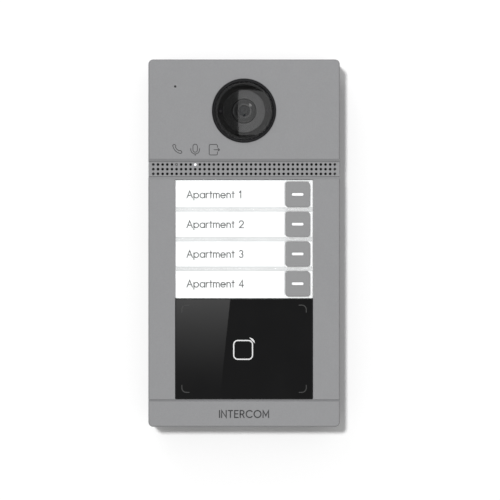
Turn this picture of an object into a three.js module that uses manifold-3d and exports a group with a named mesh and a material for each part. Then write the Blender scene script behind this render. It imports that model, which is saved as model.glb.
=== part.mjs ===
// A wall-mounted video door station with four call buttons, a card reader and a camera.
//
// Every piece is drawn as it is seen from the street: x to the right, y up, and z the distance
// from the wall towards the visitor. The last lines turn the whole group so that +Z is up and
// the front faces -Y, with the origin in the middle of the wall plate's back face.
// Units are millimetres.

import * as THREE from "three";
import { mergeVertices } from "three/addons/utils/BufferGeometryUtils.js";
import Module from "manifold-3d";

const wasm = await Module();
wasm.setup();

// ---------------------------------------------------------------- driving dimensions

const WIDTH = 100;
const HEIGHT = 192;
const FACE = 27; // distance of the metal face from the wall
const WINDOW_CROWN = 30; // distance of the camera window's crown from the wall
const CORNER = 2.5; // corner radius of the metal shell
const FACE_SKIN = 2.6; // thickness of the metal face
const GAP = 0.2; // air between neighbouring pieces
const BEYOND = 1; // how far a cutter runs past the face that it opens

// the metal shell and the plastic housing that plugs into it
const SHELL_BACK = 9;
const SHELL_STEP = 16.2; // ledge that the seal is squeezed against
const SHELL_DEEP_WALL = 2.4;
const SHELL_FRONT_WALL = 4.4;
const HOUSING_BACK = 1.5;
const HOUSING_FRONT = 14.8;
const HOUSING_WALL = 2;
const HOUSING_WIDTH = WIDTH - 2 * SHELL_DEEP_WALL - 0.6;
const HOUSING_HEIGHT = HEIGHT - 2 * SHELL_DEEP_WALL - 0.6;

// the camera
const CAMERA_Y = 69.2;
const BEZEL_RADIUS = 16.65;
const WINDOW_RADIUS = 15;

// the speaker band across the face
const BAND_TOP = 44.1;
const BAND_BOTTOM = 33.2;
const BAND_SLOPE = 1.5;
const BAND_DEPTH = 1;
const HOLE_PITCH = 2.433;
const HOLE_COLUMNS = 40;
const HOLE_ROWS = 3;
const HOLE_RADIUS = 0.68;
const BAND_MIDDLE = (BAND_TOP + BAND_BOTTOM) / 2;
const STRIP_HEIGHT = BAND_TOP - BAND_BOTTOM - 2 * BAND_SLOPE - 2 * 0.12;
const STRIP_BACK = 24.65;
const STRIP_FRONT = FACE - BAND_DEPTH;
const INDICATOR_COLUMNS = { call: 5, talk: 9, unlock: 13 };

// the opening for the name rows and the card window
const MODULE_HALF = 36; // half its width
const MODULE_TOP = BAND_BOTTOM;
const MODULE_BOTTOM = -81.6;
const MODULE_BACK = 23;
const FLANGE_FRONT = 24.2;
const FLANGE_HALF = 37.4;
const FIT = 0.25; // play between the opening and what sits in it
const ROWS = [0, 1, 2, 3];
const ROW_PITCH = 15.55;
const ROW_GAP = 0.35;
const NAMES_BOTTOM = MODULE_TOP - ROWS.length * ROW_PITCH;

// the call buttons
const BUTTON_X = 28;
const BUTTON_WIDTH = 12.8;
const BUTTON_HEIGHT = 13.1;
const BUTTON_RADIUS = 1.4;
const BUTTON_FRONT = 27.2;
const BUTTON_BACK = 21.5;
const LIGHT_BAR = { width: 6.2, height: 1.5 };
const LIGHT_BAR_PLAY = 0.15; // air round the bar in its slot

// boards
const MAIN_BOARD_BACK = 13.6;
const BOARD_THICKNESS = 1.6;
const MAIN_BOARD_FRONT = MAIN_BOARD_BACK + BOARD_THICKNESS;

// the wiring recess in the back of the housing
const RECESS = { half: 34.4, bottom: -70, top: -18.5, floor: 11, floorSkin: 1.6 };
const RECESS_WALL = 1.6;
const CONNECTOR_BACK = 13.4; // where connectors meet the back of the main board

// the wall plate, its hooks and the locking screw
const PLATE = { width: 84, height: 168, corner: 4, thickness: 1.2 };
const HOOK_X = 25;
const HOOK_HALF = 5;
const HOOK_SLOT = { bottom: 52, top: 66, half: 6, lipTop: 71.5, depth: 6.7, wall: 1.5 };
const HOUSING_BOTTOM = -HOUSING_HEIGHT / 2;
const LOCK_Z = 4.9;
const LOCK_HOLE = 1.75;
const LOCK_TAB = { bottom: -89.7, top: -88.5, half: 6, reach: 8.6 };
const LOCK_NOTCH = { half: 8, top: -86.2, front: 9.2, wall: 1.6 };
const LOCK_BOSS = { radius: 3.4, top: -79 };

// the tamper plunger
const TAMPER_Y = 15;
const TAMPER_RADIUS = 1.9;

// screws that close the housing
const CORNER_SCREW = { x: 42, y: 88, shank: 1.4, head: 2.6, headBack: 8.6, seat: 10.5, tip: 19.5 };

// ---------------------------------------------------------------- materials

const finish = (color, roughness, metalness = 0, extra = {}) =>
  new THREE.MeshStandardMaterial({ color, roughness, metalness, ...extra });

const MATERIALS = {
  silverPaint: finish(0x9b9b9d, 0.45, 0.55),
  keyPaint: finish(0x9f9fa0, 0.4, 0.3),
  blackPlastic: finish(0x1b1b1c, 0.35),
  darkHousing: finish(0x2c2d2f, 0.6),
  smokedWindow: finish(0x0d0e10, 0.05, 0, { transparent: true, opacity: 0.55 }),
  glass: finish(0x2a3540, 0.02, 0, { transparent: true, opacity: 0.5 }),
  blackGloss: finish(0x1d1d1d, 0.05),
  whiteDiffuser: finish(0xf7f7f7, 0.5),
  clearCover: finish(0xffffff, 0.05, 0, { transparent: true, opacity: 0.25 }),
  paper: finish(0xfbfbf8, 0.9),
  lightPipe: finish(0xf4f6f8, 0.2),
  silicone: finish(0xd8d8d6, 0.7),
  blackRubber: finish(0x161616, 0.85),
  clothBlack: finish(0x101010, 0.95),
  circuitBoard: finish(0x14402a, 0.45),
  coneBlack: finish(0x202020, 0.8),
  magnetNickel: finish(0xa8a9aa, 0.3, 0.9),
  tinnedSteel: finish(0xb9babb, 0.35, 0.9),
  terminalGreen: finish(0x2f7a44, 0.5),
  connectorBlack: finish(0x1f1f21, 0.5),
  galvanised: finish(0xa9adb0, 0.45, 0.85),
  screwSteel: finish(0x8f9092, 0.35, 0.9),
};

// ---------------------------------------------------------------- shapes and solids

function roundedRect(width, height, radius, x = 0, y = 0) {
  const right = x + width / 2;
  const left = x - width / 2;
  const top = y + height / 2;
  const bottom = y - height / 2;
  const shape = new THREE.Shape();
  shape.moveTo(left + radius, bottom);
  shape.absarc(right - radius, bottom + radius, radius, -Math.PI / 2, 0);
  shape.absarc(right - radius, top - radius, radius, 0, Math.PI / 2);
  shape.absarc(left + radius, top - radius, radius, Math.PI / 2, Math.PI);
  shape.absarc(left + radius, bottom + radius, radius, Math.PI, 1.5 * Math.PI);
  return shape;
}

// A rectangle from its edges.
function rect(left, right, bottom, top) {
  const shape = new THREE.Shape();
  shape.moveTo(left, bottom);
  shape.lineTo(right, bottom);
  shape.lineTo(right, top);
  shape.lineTo(left, top);
  return shape;
}

function disc(radius, x = 0, y = 0) {
  return new THREE.Shape().absarc(x, y, radius, 0, 2 * Math.PI);
}

// A shape stretched from one distance from the wall to another. arcs is half the number of
// segments that three.js gives to each arc.
function slab(shape, back, front, arcs = 3) {
  const settings = { depth: front - back, bevelEnabled: false, curveSegments: arcs };
  return new THREE.ExtrudeGeometry(shape, settings).translate(0, 0, back);
}

function block(left, right, bottom, top, back, front) {
  return slab(rect(left, right, bottom, top), back, front);
}

function rod(radius, back, front, x = 0, y = 0, arcs = 6) {
  return slab(disc(radius, x, y), back, front, arcs);
}

// A profile of [y, z] points run from one x to another.
function rail(profile, left, right) {
  const shape = new THREE.Shape(profile.map(([y, z]) => new THREE.Vector2(-z, y)));
  const settings = { depth: right - left, bevelEnabled: false };
  const made = new THREE.ExtrudeGeometry(shape, settings);
  return made.rotateY(Math.PI / 2).translate(left, 0, 0);
}

// A profile of [radius, z] points turned about the z axis, counter-clockwise.
function turned(profile, segments = 24) {
  const points = profile.map(([radius, z]) => new THREE.Vector2(radius, z));
  return new THREE.LatheGeometry(points, segments).rotateX(Math.PI / 2);
}

// The same for a ring, whose profile closes on itself.
function turnedRing(profile, segments = 24) {
  return turned([...profile, profile[0]], segments);
}

function solidOf(geometry) {
  const bare = geometry.index ? geometry.toNonIndexed() : geometry.clone();
  bare.deleteAttribute("normal");
  bare.deleteAttribute("uv");
  const merged = mergeVertices(bare, 1e-4);
  return new wasm.Manifold(
    new wasm.Mesh({
      numProp: 3,
      vertProperties: merged.attributes.position.array,
      triVerts: new Uint32Array(merged.index.array),
    }),
  );
}

function geometryOf(solid) {
  const mesh = solid.getMesh();
  const made = new THREE.BufferGeometry();
  made.setAttribute("position", new THREE.BufferAttribute(mesh.vertProperties, 3));
  made.setIndex(new THREE.BufferAttribute(mesh.triVerts, 1));
  made.computeVertexNormals();
  return made;
}

function joined(...geometries) {
  return geometryOf(geometries.map(solidOf).reduce((all, one) => all.add(one)));
}

function cut(geometry, ...tools) {
  return geometryOf(tools.map(solidOf).reduce((rest, tool) => rest.subtract(tool), solidOf(geometry)));
}

// ---------------------------------------------------------------- the assembly

const intercom = new THREE.Group();

function add(name, geometry, material, x = 0, y = 0, z = 0) {
  const mesh = new THREE.Mesh(geometry, MATERIALS[material]);
  mesh.name = name;
  mesh.position.set(x, y, z);
  intercom.add(mesh);
  return mesh;
}

const rowY = (row) => MODULE_TOP - (row + 0.5) * ROW_PITCH;
const holeX = (column) => (column - (HOLE_COLUMNS - 1) / 2) * HOLE_PITCH;
const holeY = (row) => BAND_MIDDLE + (1 - row) * HOLE_PITCH;
const corners = [
  [-1, -1],
  [1, -1],
  [1, 1],
  [-1, 1],
];

// ---------------------------------------------------------------- metal front shell

const MIC = { x: -36, y: 81.8, hole: 0.6 };
const GROOVE = { half: 0.6, depth: 0.7 };
const SOUND_SLOT_HALF = 45; // half the width of the slot behind the speaker strip
const SOUND_POCKET = { x: 46.4, half: 2.2, back: 21 }; // notch in the side wall at each end of it
const SCREW_BOSS = 3.2;
const SCREW_PILOT = 1.75;
const CAMERA_POST = { x: 21.5, radius: 2.3, back: 16.7, front: 24.5 };
const CHAMFER = 0.8;

function frontShell() {
  const bevel = {
    depth: FACE - SHELL_BACK,
    bevelEnabled: true,
    bevelThickness: CHAMFER,
    bevelSize: CHAMFER,
    bevelOffset: -CHAMFER,
    bevelSegments: 2,
    curveSegments: 3,
  };
  const outline = roundedRect(WIDTH, HEIGHT, CORNER);
  const blank = new THREE.ExtrudeGeometry(outline, bevel).translate(0, 0, SHELL_BACK - CHAMFER);
  const deep = roundedRect(WIDTH - 2 * SHELL_DEEP_WALL, HEIGHT - 2 * SHELL_DEEP_WALL, 1.6);
  const shallow = roundedRect(WIDTH - 2 * SHELL_FRONT_WALL, HEIGHT - 2 * SHELL_FRONT_WALL, 1);
  const tray = cut(
    blank,
    block(-WIDTH, WIDTH, -HEIGHT, HEIGHT, 0, SHELL_BACK),
    slab(deep, SHELL_BACK - BEYOND, SHELL_STEP),
    slab(shallow, SHELL_STEP - BEYOND, FACE - FACE_SKIN),
  );
  const merge = 0.1; // overlap that joins two pieces of one casting
  const ledgeHalf = WIDTH / 2 - SHELL_FRONT_WALL + merge;
  const stripSeat = FACE - FACE_SKIN + merge;
  const stripTop = BAND_TOP - BAND_SLOPE;
  const stripBottom = BAND_BOTTOM + BAND_SLOPE;
  const ledge = block(-ledgeHalf, ledgeHalf, BAND_BOTTOM + 0.1, BAND_TOP, MODULE_BACK, stripSeat);
  const bosses = corners.map(([sx, sy]) =>
    rod(
      SCREW_BOSS,
      HOUSING_FRONT + 0.3,
      FACE - FACE_SKIN + merge,
      sx * CORNER_SCREW.x,
      sy * CORNER_SCREW.y,
      4,
    ),
  );
  const posts = [-1, 1].map((side) =>
    rod(CAMERA_POST.radius, CAMERA_POST.back, CAMERA_POST.front, side * CAMERA_POST.x, CAMERA_Y, 4),
  );
  const openings = [
    // the sunk band, with sloping sides, and the seat and slot for the speaker strip
    rail(
      [
        [BAND_BOTTOM - BAND_SLOPE, FACE + BAND_DEPTH],
        [stripBottom, STRIP_FRONT],
        [stripTop, STRIP_FRONT],
        [BAND_TOP + BAND_SLOPE, FACE + BAND_DEPTH],
      ],
      -WIDTH,
      WIDTH,
    ),
    block(-WIDTH, WIDTH, stripBottom, stripTop, stripSeat, FACE + BEYOND),
    block(
      -SOUND_SLOT_HALF,
      SOUND_SLOT_HALF,
      stripBottom + 0.6,
      stripTop - 0.6,
      MODULE_BACK - BEYOND,
      FACE,
    ),
    ...[-SOUND_POCKET.x, SOUND_POCKET.x].map((x) =>
      block(
        x - SOUND_POCKET.half,
        x + SOUND_POCKET.half,
        stripBottom + 0.6,
        stripTop - 0.6,
        SOUND_POCKET.back,
        FACE,
      ),
    ),
    // the opening for the names, the buttons and the card window, and the groove under it
    block(-MODULE_HALF, MODULE_HALF, MODULE_BOTTOM, MODULE_TOP, MODULE_BACK, FACE + BEYOND),
    rail(
      [
        [MODULE_BOTTOM, FACE + 0.01],
        [MODULE_BOTTOM - GROOVE.half, FACE - GROOVE.depth],
        [MODULE_BOTTOM - 2 * GROOVE.half, FACE + 0.01],
      ],
      -WIDTH,
      WIDTH,
    ),
    rod(BEZEL_RADIUS + FIT, MODULE_BACK - 3, FACE + BEYOND, 0, CAMERA_Y, 20),
    rod(MIC.hole, MODULE_BACK, FACE + BEYOND, MIC.x, MIC.y, 4),
    ...corners.map(([sx, sy]) =>
      rod(SCREW_PILOT, SHELL_BACK, CORNER_SCREW.tip + 1, sx * CORNER_SCREW.x, sy * CORNER_SCREW.y, 4),
    ),
  ];
  return cut(joined(tray, ledge, ...bosses, ...posts), ...openings);
}

add("front_panel", frontShell(), "silverPaint");

// ---------------------------------------------------------------- speaker strip

function perforatedStrip() {
  const half = WIDTH / 2 - 0.1;
  const strip = rect(-half, half, -STRIP_HEIGHT / 2, STRIP_HEIGHT / 2);
  for (let row = 0; row < HOLE_ROWS; row++) {
    for (let column = 0; column < HOLE_COLUMNS; column++) {
      const hole = new THREE.Path();
      hole.absarc(holeX(column), holeY(row) - BAND_MIDDLE, HOLE_RADIUS, 0, 2 * Math.PI);
      strip.holes.push(hole);
    }
  }
  return slab(strip, 0, STRIP_FRONT - STRIP_BACK, 3);
}

add("speaker_grille", perforatedStrip(), "silverPaint", 0, BAND_MIDDLE, STRIP_BACK);

const cloth = rect(-44.6, 44.6, BAND_MIDDLE - 3.1, BAND_MIDDLE + 3.1);
Object.values(INDICATOR_COLUMNS).forEach((column) => {
  cloth.holes.push(new THREE.Path().absarc(holeX(column), holeY(0), 0.75, 0, 2 * Math.PI));
});
add("grille_cloth", slab(cloth, 24.1, 24.35), "clothBlack");

// ---------------------------------------------------------------- indicator light guides

const GUIDE_SHOULDER = 22.4;
const lightGuide = () =>
  turned(
    [
      [0, MAIN_BOARD_FRONT + 0.4],
      [1, MAIN_BOARD_FRONT + 0.4],
      [1, GUIDE_SHOULDER],
      [0.4, GUIDE_SHOULDER + 0.6],
      [0.4, STRIP_FRONT - 0.05],
      [0, STRIP_FRONT - 0.05],
    ],
    10,
  );

for (const [name, column] of Object.entries(INDICATOR_COLUMNS)) {
  add(name + "_light_guide", lightGuide(), "lightPipe", holeX(column), holeY(0));
}

// ---------------------------------------------------------------- camera window and its ring

const BEZEL_FLANGE = 18.4;
const BEZEL_FRONT = 28;
const LIP_RADIUS = 14;

add(
  "camera_bezel",
  turnedRing(
    [
      [LIP_RADIUS, 22.4],
      [BEZEL_FLANGE, 22.4],
      [BEZEL_FLANGE, 23.2],
      [BEZEL_RADIUS, 23.2],
      [BEZEL_RADIUS, BEZEL_FRONT - 0.5],
      [BEZEL_RADIUS - 0.5, BEZEL_FRONT],
      [WINDOW_RADIUS + 0.7, BEZEL_FRONT],
      [WINDOW_RADIUS + 0.2, BEZEL_FRONT - 0.5],
      [WINDOW_RADIUS + 0.2, 24.5],
      [LIP_RADIUS, 24.5],
    ],
    40,
  ),
  "blackPlastic",
  0,
  CAMERA_Y,
);

add(
  "camera_seal",
  turnedRing([
    [BEZEL_RADIUS + 0.5, 23.35],
    [BEZEL_FLANGE, 23.35],
    [BEZEL_FLANGE, 24.2],
    [BEZEL_RADIUS + 0.5, 24.2],
  ], 32),
  "blackRubber",
  0,
  CAMERA_Y,
);

const WINDOW_EDGE = 27; // where the dome meets its rim
const WINDOW_SKIN = 1.4;
const SAGITTA = WINDOW_CROWN - WINDOW_EDGE;
const DOME_RADIUS = (WINDOW_RADIUS ** 2 + SAGITTA ** 2) / (2 * SAGITTA);

// Points on a dome from its rim at one radius to its crown, or back.
function domeArc(sphere, from, to, steps) {
  const centre = WINDOW_CROWN - DOME_RADIUS;
  return Array.from({ length: steps + 1 }, (_, i) => {
    const radius = from + ((to - from) * i) / steps;
    return [radius, centre + Math.sqrt(sphere ** 2 - radius ** 2)];
  });
}

add(
  "camera_window",
  turned(
    [
      ...domeArc(DOME_RADIUS - WINDOW_SKIN, 0, WINDOW_RADIUS - WINDOW_SKIN, 6),
      [WINDOW_RADIUS - WINDOW_SKIN, 24.75],
      [WINDOW_RADIUS, 24.75],
      ...domeArc(DOME_RADIUS, WINDOW_RADIUS, 0, 7),
    ],
    40,
  ),
  "smokedWindow",
  0,
  CAMERA_Y,
);

// ---------------------------------------------------------------- camera module

const CAMERA_BOARD = { width: 48, height: 24, back: 15.2, front: 16.4 };

add(
  "lens_holder",
  turnedRing(
    [
      [6.5, 16.6],
      [8, 16.6],
      [8, 20.8],
      [11.1, 21.4],
      [11.1, 22],
      [6.5, 22],
    ],
    36,
  ),
  "blackPlastic",
  0,
  CAMERA_Y,
);
add(
  "lens_barrel",
  turnedRing(
    [
      [3.2, 18],
      [6.2, 18],
      [6.2, 24.2],
      [5.7, 24.7],
      [4.1, 23.9],
      [4.1, 22.6],
      [3.2, 22.6],
    ],
    36,
  ),
  "blackPlastic",
  0,
  CAMERA_Y,
);
add(
  "lens_glass",
  turned(
    [
      [0, 22.1],
      [2.6, 22.3],
      [2.9, 22.8],
      [3.9, 22.8],
      [3.9, 23.4],
      [3, 24.1],
      [1.7, 24.6],
      [0, 24.8],
    ],
    28,
  ),
  "glass",
  0,
  CAMERA_Y,
);
add("image_sensor", block(-3.6, 3.6, -3.1, 3.1, 16.6, 17.7), "connectorBlack", 0, CAMERA_Y);

const cameraBoard = roundedRect(CAMERA_BOARD.width, CAMERA_BOARD.height, 1.5);
add(
  "camera_board",
  joined(
    slab(cameraBoard, CAMERA_BOARD.back, CAMERA_BOARD.front),
    block(10, 18, -9, -4, CAMERA_BOARD.front - 0.1, 18.2), // ribbon socket
    block(-19, -13, 3, 8, CAMERA_BOARD.front - 0.1, 17.4), // flash chip
  ),
  "circuitBoard",
  0,
  CAMERA_Y,
);

const nightLamp = () =>
  turned(
    [
      [0, 16.6],
      [1.6, 16.6],
      [1.6, 17.4],
      [1.35, 17.4],
      [1.35, 20.7],
      [0.95, 21.6],
      [0, 22],
    ],
    12,
  );
add("ir_led_left", nightLamp(), "glass", -12.6, CAMERA_Y);
add("ir_led_right", nightLamp(), "glass", 12.6, CAMERA_Y);

// ---------------------------------------------------------------- microphone

add(
  "microphone_boot",
  cut(
    rod(4.2, 19.4, 24.2, 0, 0, 8),
    rod(3.15, 18, 22.2, 0, 0, 8),
    rod(MIC.hole, 20, 25, 0, 0, 4),
  ),
  "blackRubber",
  MIC.x,
  MIC.y,
);
add("microphone", rod(3, 19.6, 21.9, 0, 0, 8), "tinnedSteel", MIC.x, MIC.y);

// ---------------------------------------------------------------- speaker

const SPEAKER = { x: 8, y: 41.6, width: 40, height: 17 };

add(
  "speaker_frame",
  cut(
    slab(roundedRect(SPEAKER.width, SPEAKER.height, 5), 17.4, 22.7),
    slab(roundedRect(SPEAKER.width - 3, SPEAKER.height - 3, 3.6), 19, 23.5),
    rod(7.3, 17, 19.5, 0, 0, 10),
  ),
  "connectorBlack",
  SPEAKER.x,
  SPEAKER.y,
);
const cone = turned(
  [
    [0, 19.9],
    [3, 19.7],
    [6.6, 21.3],
    [6.6, 21.7],
    [3, 20.2],
    [0, 20.5],
  ],
  28,
);
cone.scale(18 / 6.6, 1, 1);
add("speaker_cone", cone, "coneBlack", SPEAKER.x, SPEAKER.y);
add("speaker_magnet", rod(7, 15.6, 19.2, 0, 0, 10), "magnetNickel", SPEAKER.x, SPEAKER.y);

// ---------------------------------------------------------------- name rows

const NAMES_TOP = MODULE_TOP - FIT;
const NAMES_FOOT = NAMES_BOTTOM + 0.15;
const NAMES_HALF = MODULE_HALF - FIT;
const FRAME_FRONT = 25.3;
const CARD_POCKET = { left: -34, right: 19, half: 6, floor: 24.85 };
const COVER_BACK = 25.45;
const COVER_FRONT = 26.6;

function namesFrame() {
  const keyHole = (row) =>
    slab(roundedRect(13.7, 14, 1.6, BUTTON_X, rowY(row)), MODULE_BACK - BEYOND, FACE, 2);
  const pocket = (row) => {
    const y = rowY(row);
    const { left, right, half, floor } = CARD_POCKET;
    return block(left, right, y - half, y + half, floor, FACE);
  };
  const postAt = ([x, y]) => rod(1.8, 18.9, MODULE_BACK + 0.5, x, y, 4);
  const body = joined(
    block(-NAMES_HALF, NAMES_HALF, NAMES_FOOT, NAMES_TOP, MODULE_BACK, FRAME_FRONT),
    block(-FLANGE_HALF, FLANGE_HALF, NAMES_FOOT, NAMES_TOP, MODULE_BACK, FLANGE_FRONT),
    ...[
      [-32, 27],
      [-32, -23],
      [14, 27],
      [14, -23],
    ].map(postAt),
  );
  return cut(body, ...ROWS.map(keyHole), ...ROWS.map(pocket));
}

add("nameplate_frame", namesFrame(), "whiteDiffuser");

const coverHeight = ROW_PITCH - ROW_GAP;
const cover = roundedRect(2 * NAMES_HALF, coverHeight, 0.4);
cover.holes.push(roundedRect(BUTTON_WIDTH + 0.7, BUTTON_HEIGHT + 0.7, BUTTON_RADIUS + 0.3, BUTTON_X, 0));

const card = rect(
  CARD_POCKET.left + 0.2,
  CARD_POCKET.right - 0.2,
  0.2 - CARD_POCKET.half,
  CARD_POCKET.half - 0.2,
);

for (const row of ROWS) {
  add(`name_cover_${row + 1}`, slab(cover, COVER_BACK, COVER_FRONT), "clearCover", 0, rowY(row));
  add(`name_card_${row + 1}`, slab(card, 25, 25.25), "paper", 0, rowY(row));
}

// ---------------------------------------------------------------- call buttons

const BUTTON_FLANGE = { width: 15.2, height: 14.8, front: 22.75 };

function callButton() {
  const cap = roundedRect(BUTTON_WIDTH, BUTTON_HEIGHT, BUTTON_RADIUS);
  const flange = roundedRect(BUTTON_FLANGE.width, BUTTON_FLANGE.height, 1.2);
  const slotWidth = LIGHT_BAR.width + 2 * LIGHT_BAR_PLAY;
  const slotHeight = LIGHT_BAR.height + 2 * LIGHT_BAR_PLAY;
  const slot = roundedRect(slotWidth, slotHeight, slotHeight / 2 - 0.05);
  return cut(
    joined(
      slab(cap, BUTTON_BACK + 0.5, BUTTON_FRONT),
      slab(flange, BUTTON_BACK, BUTTON_FLANGE.front, 2),
    ),
    slab(slot, BUTTON_BACK - BEYOND, BUTTON_FRONT + BEYOND, 2),
  );
}

const lightBar = roundedRect(LIGHT_BAR.width, LIGHT_BAR.height, LIGHT_BAR.height / 2 - 0.05);

for (const row of ROWS) {
  add(`call_button_${row + 1}`, callButton(), "keyPaint", BUTTON_X, rowY(row));
  const bar = slab(lightBar, BUTTON_BACK + 0.5, BUTTON_FRONT - 0.05, 2);
  add(`button_light_bar_${row + 1}`, bar, "lightPipe", BUTTON_X, rowY(row));
}

// ---------------------------------------------------------------- keypad mat and button board

const MEMBRANE = {
  left: 20.4,
  right: 35.3,
  bottom: -28.3,
  top: 32.3,
  back: 18.95,
  front: 19.6,
  domeFront: 20.8,
};

const dome = (row) =>
  turned(
    [
      [0, MEMBRANE.front - 0.2],
      [5, MEMBRANE.front - 0.2],
      [5, MEMBRANE.front],
      [3.4, MEMBRANE.domeFront],
      [0, MEMBRANE.domeFront],
    ],
    12,
  ).translate(BUTTON_X, rowY(row), 0);

add(
  "keypad_membrane",
  joined(
    block(
      MEMBRANE.left,
      MEMBRANE.right,
      MEMBRANE.bottom,
      MEMBRANE.top,
      MEMBRANE.back,
      MEMBRANE.front,
    ),
    ...ROWS.map(dome),
  ),
  "silicone",
);

const BUTTON_BOARD = { back: 17.1, front: 18.7, lampX: [-24, -8, 8] };
const backlight = (row) =>
  BUTTON_BOARD.lampX.map((x) => {
    const y = rowY(row);
    return block(x - 1.6, x + 1.6, y - 0.8, y + 0.8, BUTTON_BOARD.front - 0.1, 19.4);
  });

add(
  "button_board",
  joined(
    block(-35.4, 35.4, -28.4, 32.4, BUTTON_BOARD.back, BUTTON_BOARD.front),
    ...ROWS.flatMap(backlight),
  ),
  "circuitBoard",
);

// ---------------------------------------------------------------- card reader

const READER = { top: NAMES_BOTTOM - 0.15, bottom: MODULE_BOTTOM + FIT, front: 26.7 };

add(
  "card_window",
  cut(
    joined(
      block(-NAMES_HALF, NAMES_HALF, READER.bottom, READER.top, MODULE_BACK, READER.front),
      block(-FLANGE_HALF, FLANGE_HALF, READER.bottom - 1.6, READER.top, MODULE_BACK, FLANGE_FRONT),
    ),
    block(-33.5, 33.5, -79, -31.5, MODULE_BACK - BEYOND, 24.6),
  ),
  "blackGloss",
);
add(
  "reader_board",
  joined(block(-33, 33, -78.5, -32, 23.3, 24.3), block(-30, -20, -44, -38, 21.7, 23.4)),
  "circuitBoard",
);

// ---------------------------------------------------------------- main board

const MAIN_BOARD = { half: 43, bottom: -82, top: 50 };

// Parts soldered to the board: [left, right, bottom, top, height], in front of it or behind it.
const FRONT_PARTS = [
  [8, 20, -60, -48, 1.2],
  [22, 34, -60, -50, 1.4],
  [-38, -28, -22, -10, 1],
  [20, 30, 2, 8, 1],
  [-20, -12, 4, 12, 0.9],
];
const BACK_PARTS = [
  [-38, -26, 22, 34, 2],
  [16, 30, 20, 30, 2.4],
  [-28, -14, -80, -73, 2.2],
  [37.5, 41.5, -60, -40, 3],
];

const soldered = [
  ...FRONT_PARTS.map(([left, right, bottom, top, height]) =>
    block(left, right, bottom, top, MAIN_BOARD_FRONT - 0.1, MAIN_BOARD_FRONT + height),
  ),
  ...BACK_PARTS.map(([left, right, bottom, top, height]) =>
    block(left, right, bottom, top, MAIN_BOARD_BACK - height, MAIN_BOARD_BACK + 0.1),
  ),
  ...[-36, -30].map((x) => rod(2.4, 8.6, MAIN_BOARD_BACK + 0.1, x, 44, 5)),
];

add(
  "main_board",
  joined(
    block(
      -MAIN_BOARD.half,
      MAIN_BOARD.half,
      MAIN_BOARD.bottom,
      MAIN_BOARD.top,
      MAIN_BOARD_BACK,
      MAIN_BOARD_FRONT,
    ),
    ...soldered,
  ),
  "circuitBoard",
);
add(
  "processor_shield",
  cut(block(-24, 2, -66, -40, 15.35, 18.2), block(-23.6, 1.6, -65.6, -40.4, 15, 17.9)),
  "tinnedSteel",
);

// ---------------------------------------------------------------- connectors in the recess

const JACK = { left: -31, right: -15, bottom: -38, top: -20, back: 2.4 };

add(
  "network_jack",
  cut(
    block(JACK.left, JACK.right, JACK.bottom, JACK.top, JACK.back, CONNECTOR_BACK),
    block(-29, -17, JACK.bottom - BEYOND, -24, 4.2, 12.2),
    block(-26, -20, JACK.bottom - BEYOND, -26, 3.2, 4.5),
  ),
  "tinnedSteel",
);

const TERMINALS = 10;
const TERMINAL_PITCH = 3.81;
const HEADER = { left: -9, right: 31, bottom: -29, top: -20, back: 4 };
const terminalX = (index) =>
  (HEADER.left + HEADER.right) / 2 + (index - (TERMINALS - 1) / 2) * TERMINAL_PITCH;
const terminals = Array.from({ length: TERMINALS }, (_, index) => terminalX(index));

add(
  "terminal_header",
  joined(
    cut(
      block(HEADER.left, HEADER.right, HEADER.bottom, HEADER.top, HEADER.back, CONNECTOR_BACK),
      block(HEADER.left + 1, HEADER.right - 1, HEADER.bottom - BEYOND, -22.5, 5.4, 11.2),
    ),
    ...terminals.map((x) => block(x - 0.5, x + 0.5, -27.5, -22, 8, 9)),
  ),
  "terminalGreen",
);

const PLUG = { bottom: -43.5, top: -29.3, back: 4, front: 12.2 };

add(
  "terminal_plug",
  cut(
    joined(
      block(HEADER.left, HEADER.right, PLUG.bottom, PLUG.top, PLUG.back, 10.6),
      block(HEADER.left + 1.3, HEADER.right - 1.3, PLUG.top - 0.5, -23.2, 5.8, 10.8),
    ),
    block(HEADER.left + 2, HEADER.right - 2, -28.5, -22, 7.2, 9.8),
    ...terminals.map((x) => rod(1.45, PLUG.back - 1, PLUG.back + 1.2, x, -35, 3)),
    ...terminals.map((x) => block(x - 1.3, x + 1.3, PLUG.bottom - 1, -40, 6, 8.8)),
  ),
  "terminalGreen",
);

const SD = { left: -33, right: -18.5, bottom: -64, top: -50 };

add(
  "memory_card_socket",
  cut(
    block(SD.left, SD.right, SD.bottom, SD.top, 11.7, CONNECTOR_BACK),
    block(SD.left + 0.8, SD.right + 1, SD.bottom + 1.2, SD.top - 1.2, 12, 13.2),
  ),
  "tinnedSteel",
);
add("memory_card", block(-32, -17, -62.5, -51.5, 12.2, 12.95), "connectorBlack");

// ---------------------------------------------------------------- tamper switch and plunger

add(
  "tamper_switch",
  joined(block(-3, 3, -3, 3, 9.9, CONNECTOR_BACK), rod(1.5, 9.5, 10, 0, 0, 5)),
  "connectorBlack",
  0,
  TAMPER_Y,
);
add(
  "tamper_plunger",
  turned(
    [
      [0, 0.1],
      [TAMPER_RADIUS - 0.4, 0.1],
      [TAMPER_RADIUS, 0.5],
      [TAMPER_RADIUS, 5],
      [3, 5],
      [3, 6],
      [TAMPER_RADIUS, 6],
      [TAMPER_RADIUS, 9.3],
      [0, 9.3],
    ],
    16,
  ),
  "whiteDiffuser",
  0,
  TAMPER_Y,
);

// ---------------------------------------------------------------- seal and rear housing

const sealRing = roundedRect(HOUSING_WIDTH - 0.2, HOUSING_HEIGHT - 0.2, 1.9);
sealRing.holes.push(roundedRect(HOUSING_WIDTH - 3, HOUSING_HEIGHT - 3, 1.2));
add("housing_seal", slab(sealRing, 15, 15.95), "blackRubber");

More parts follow.
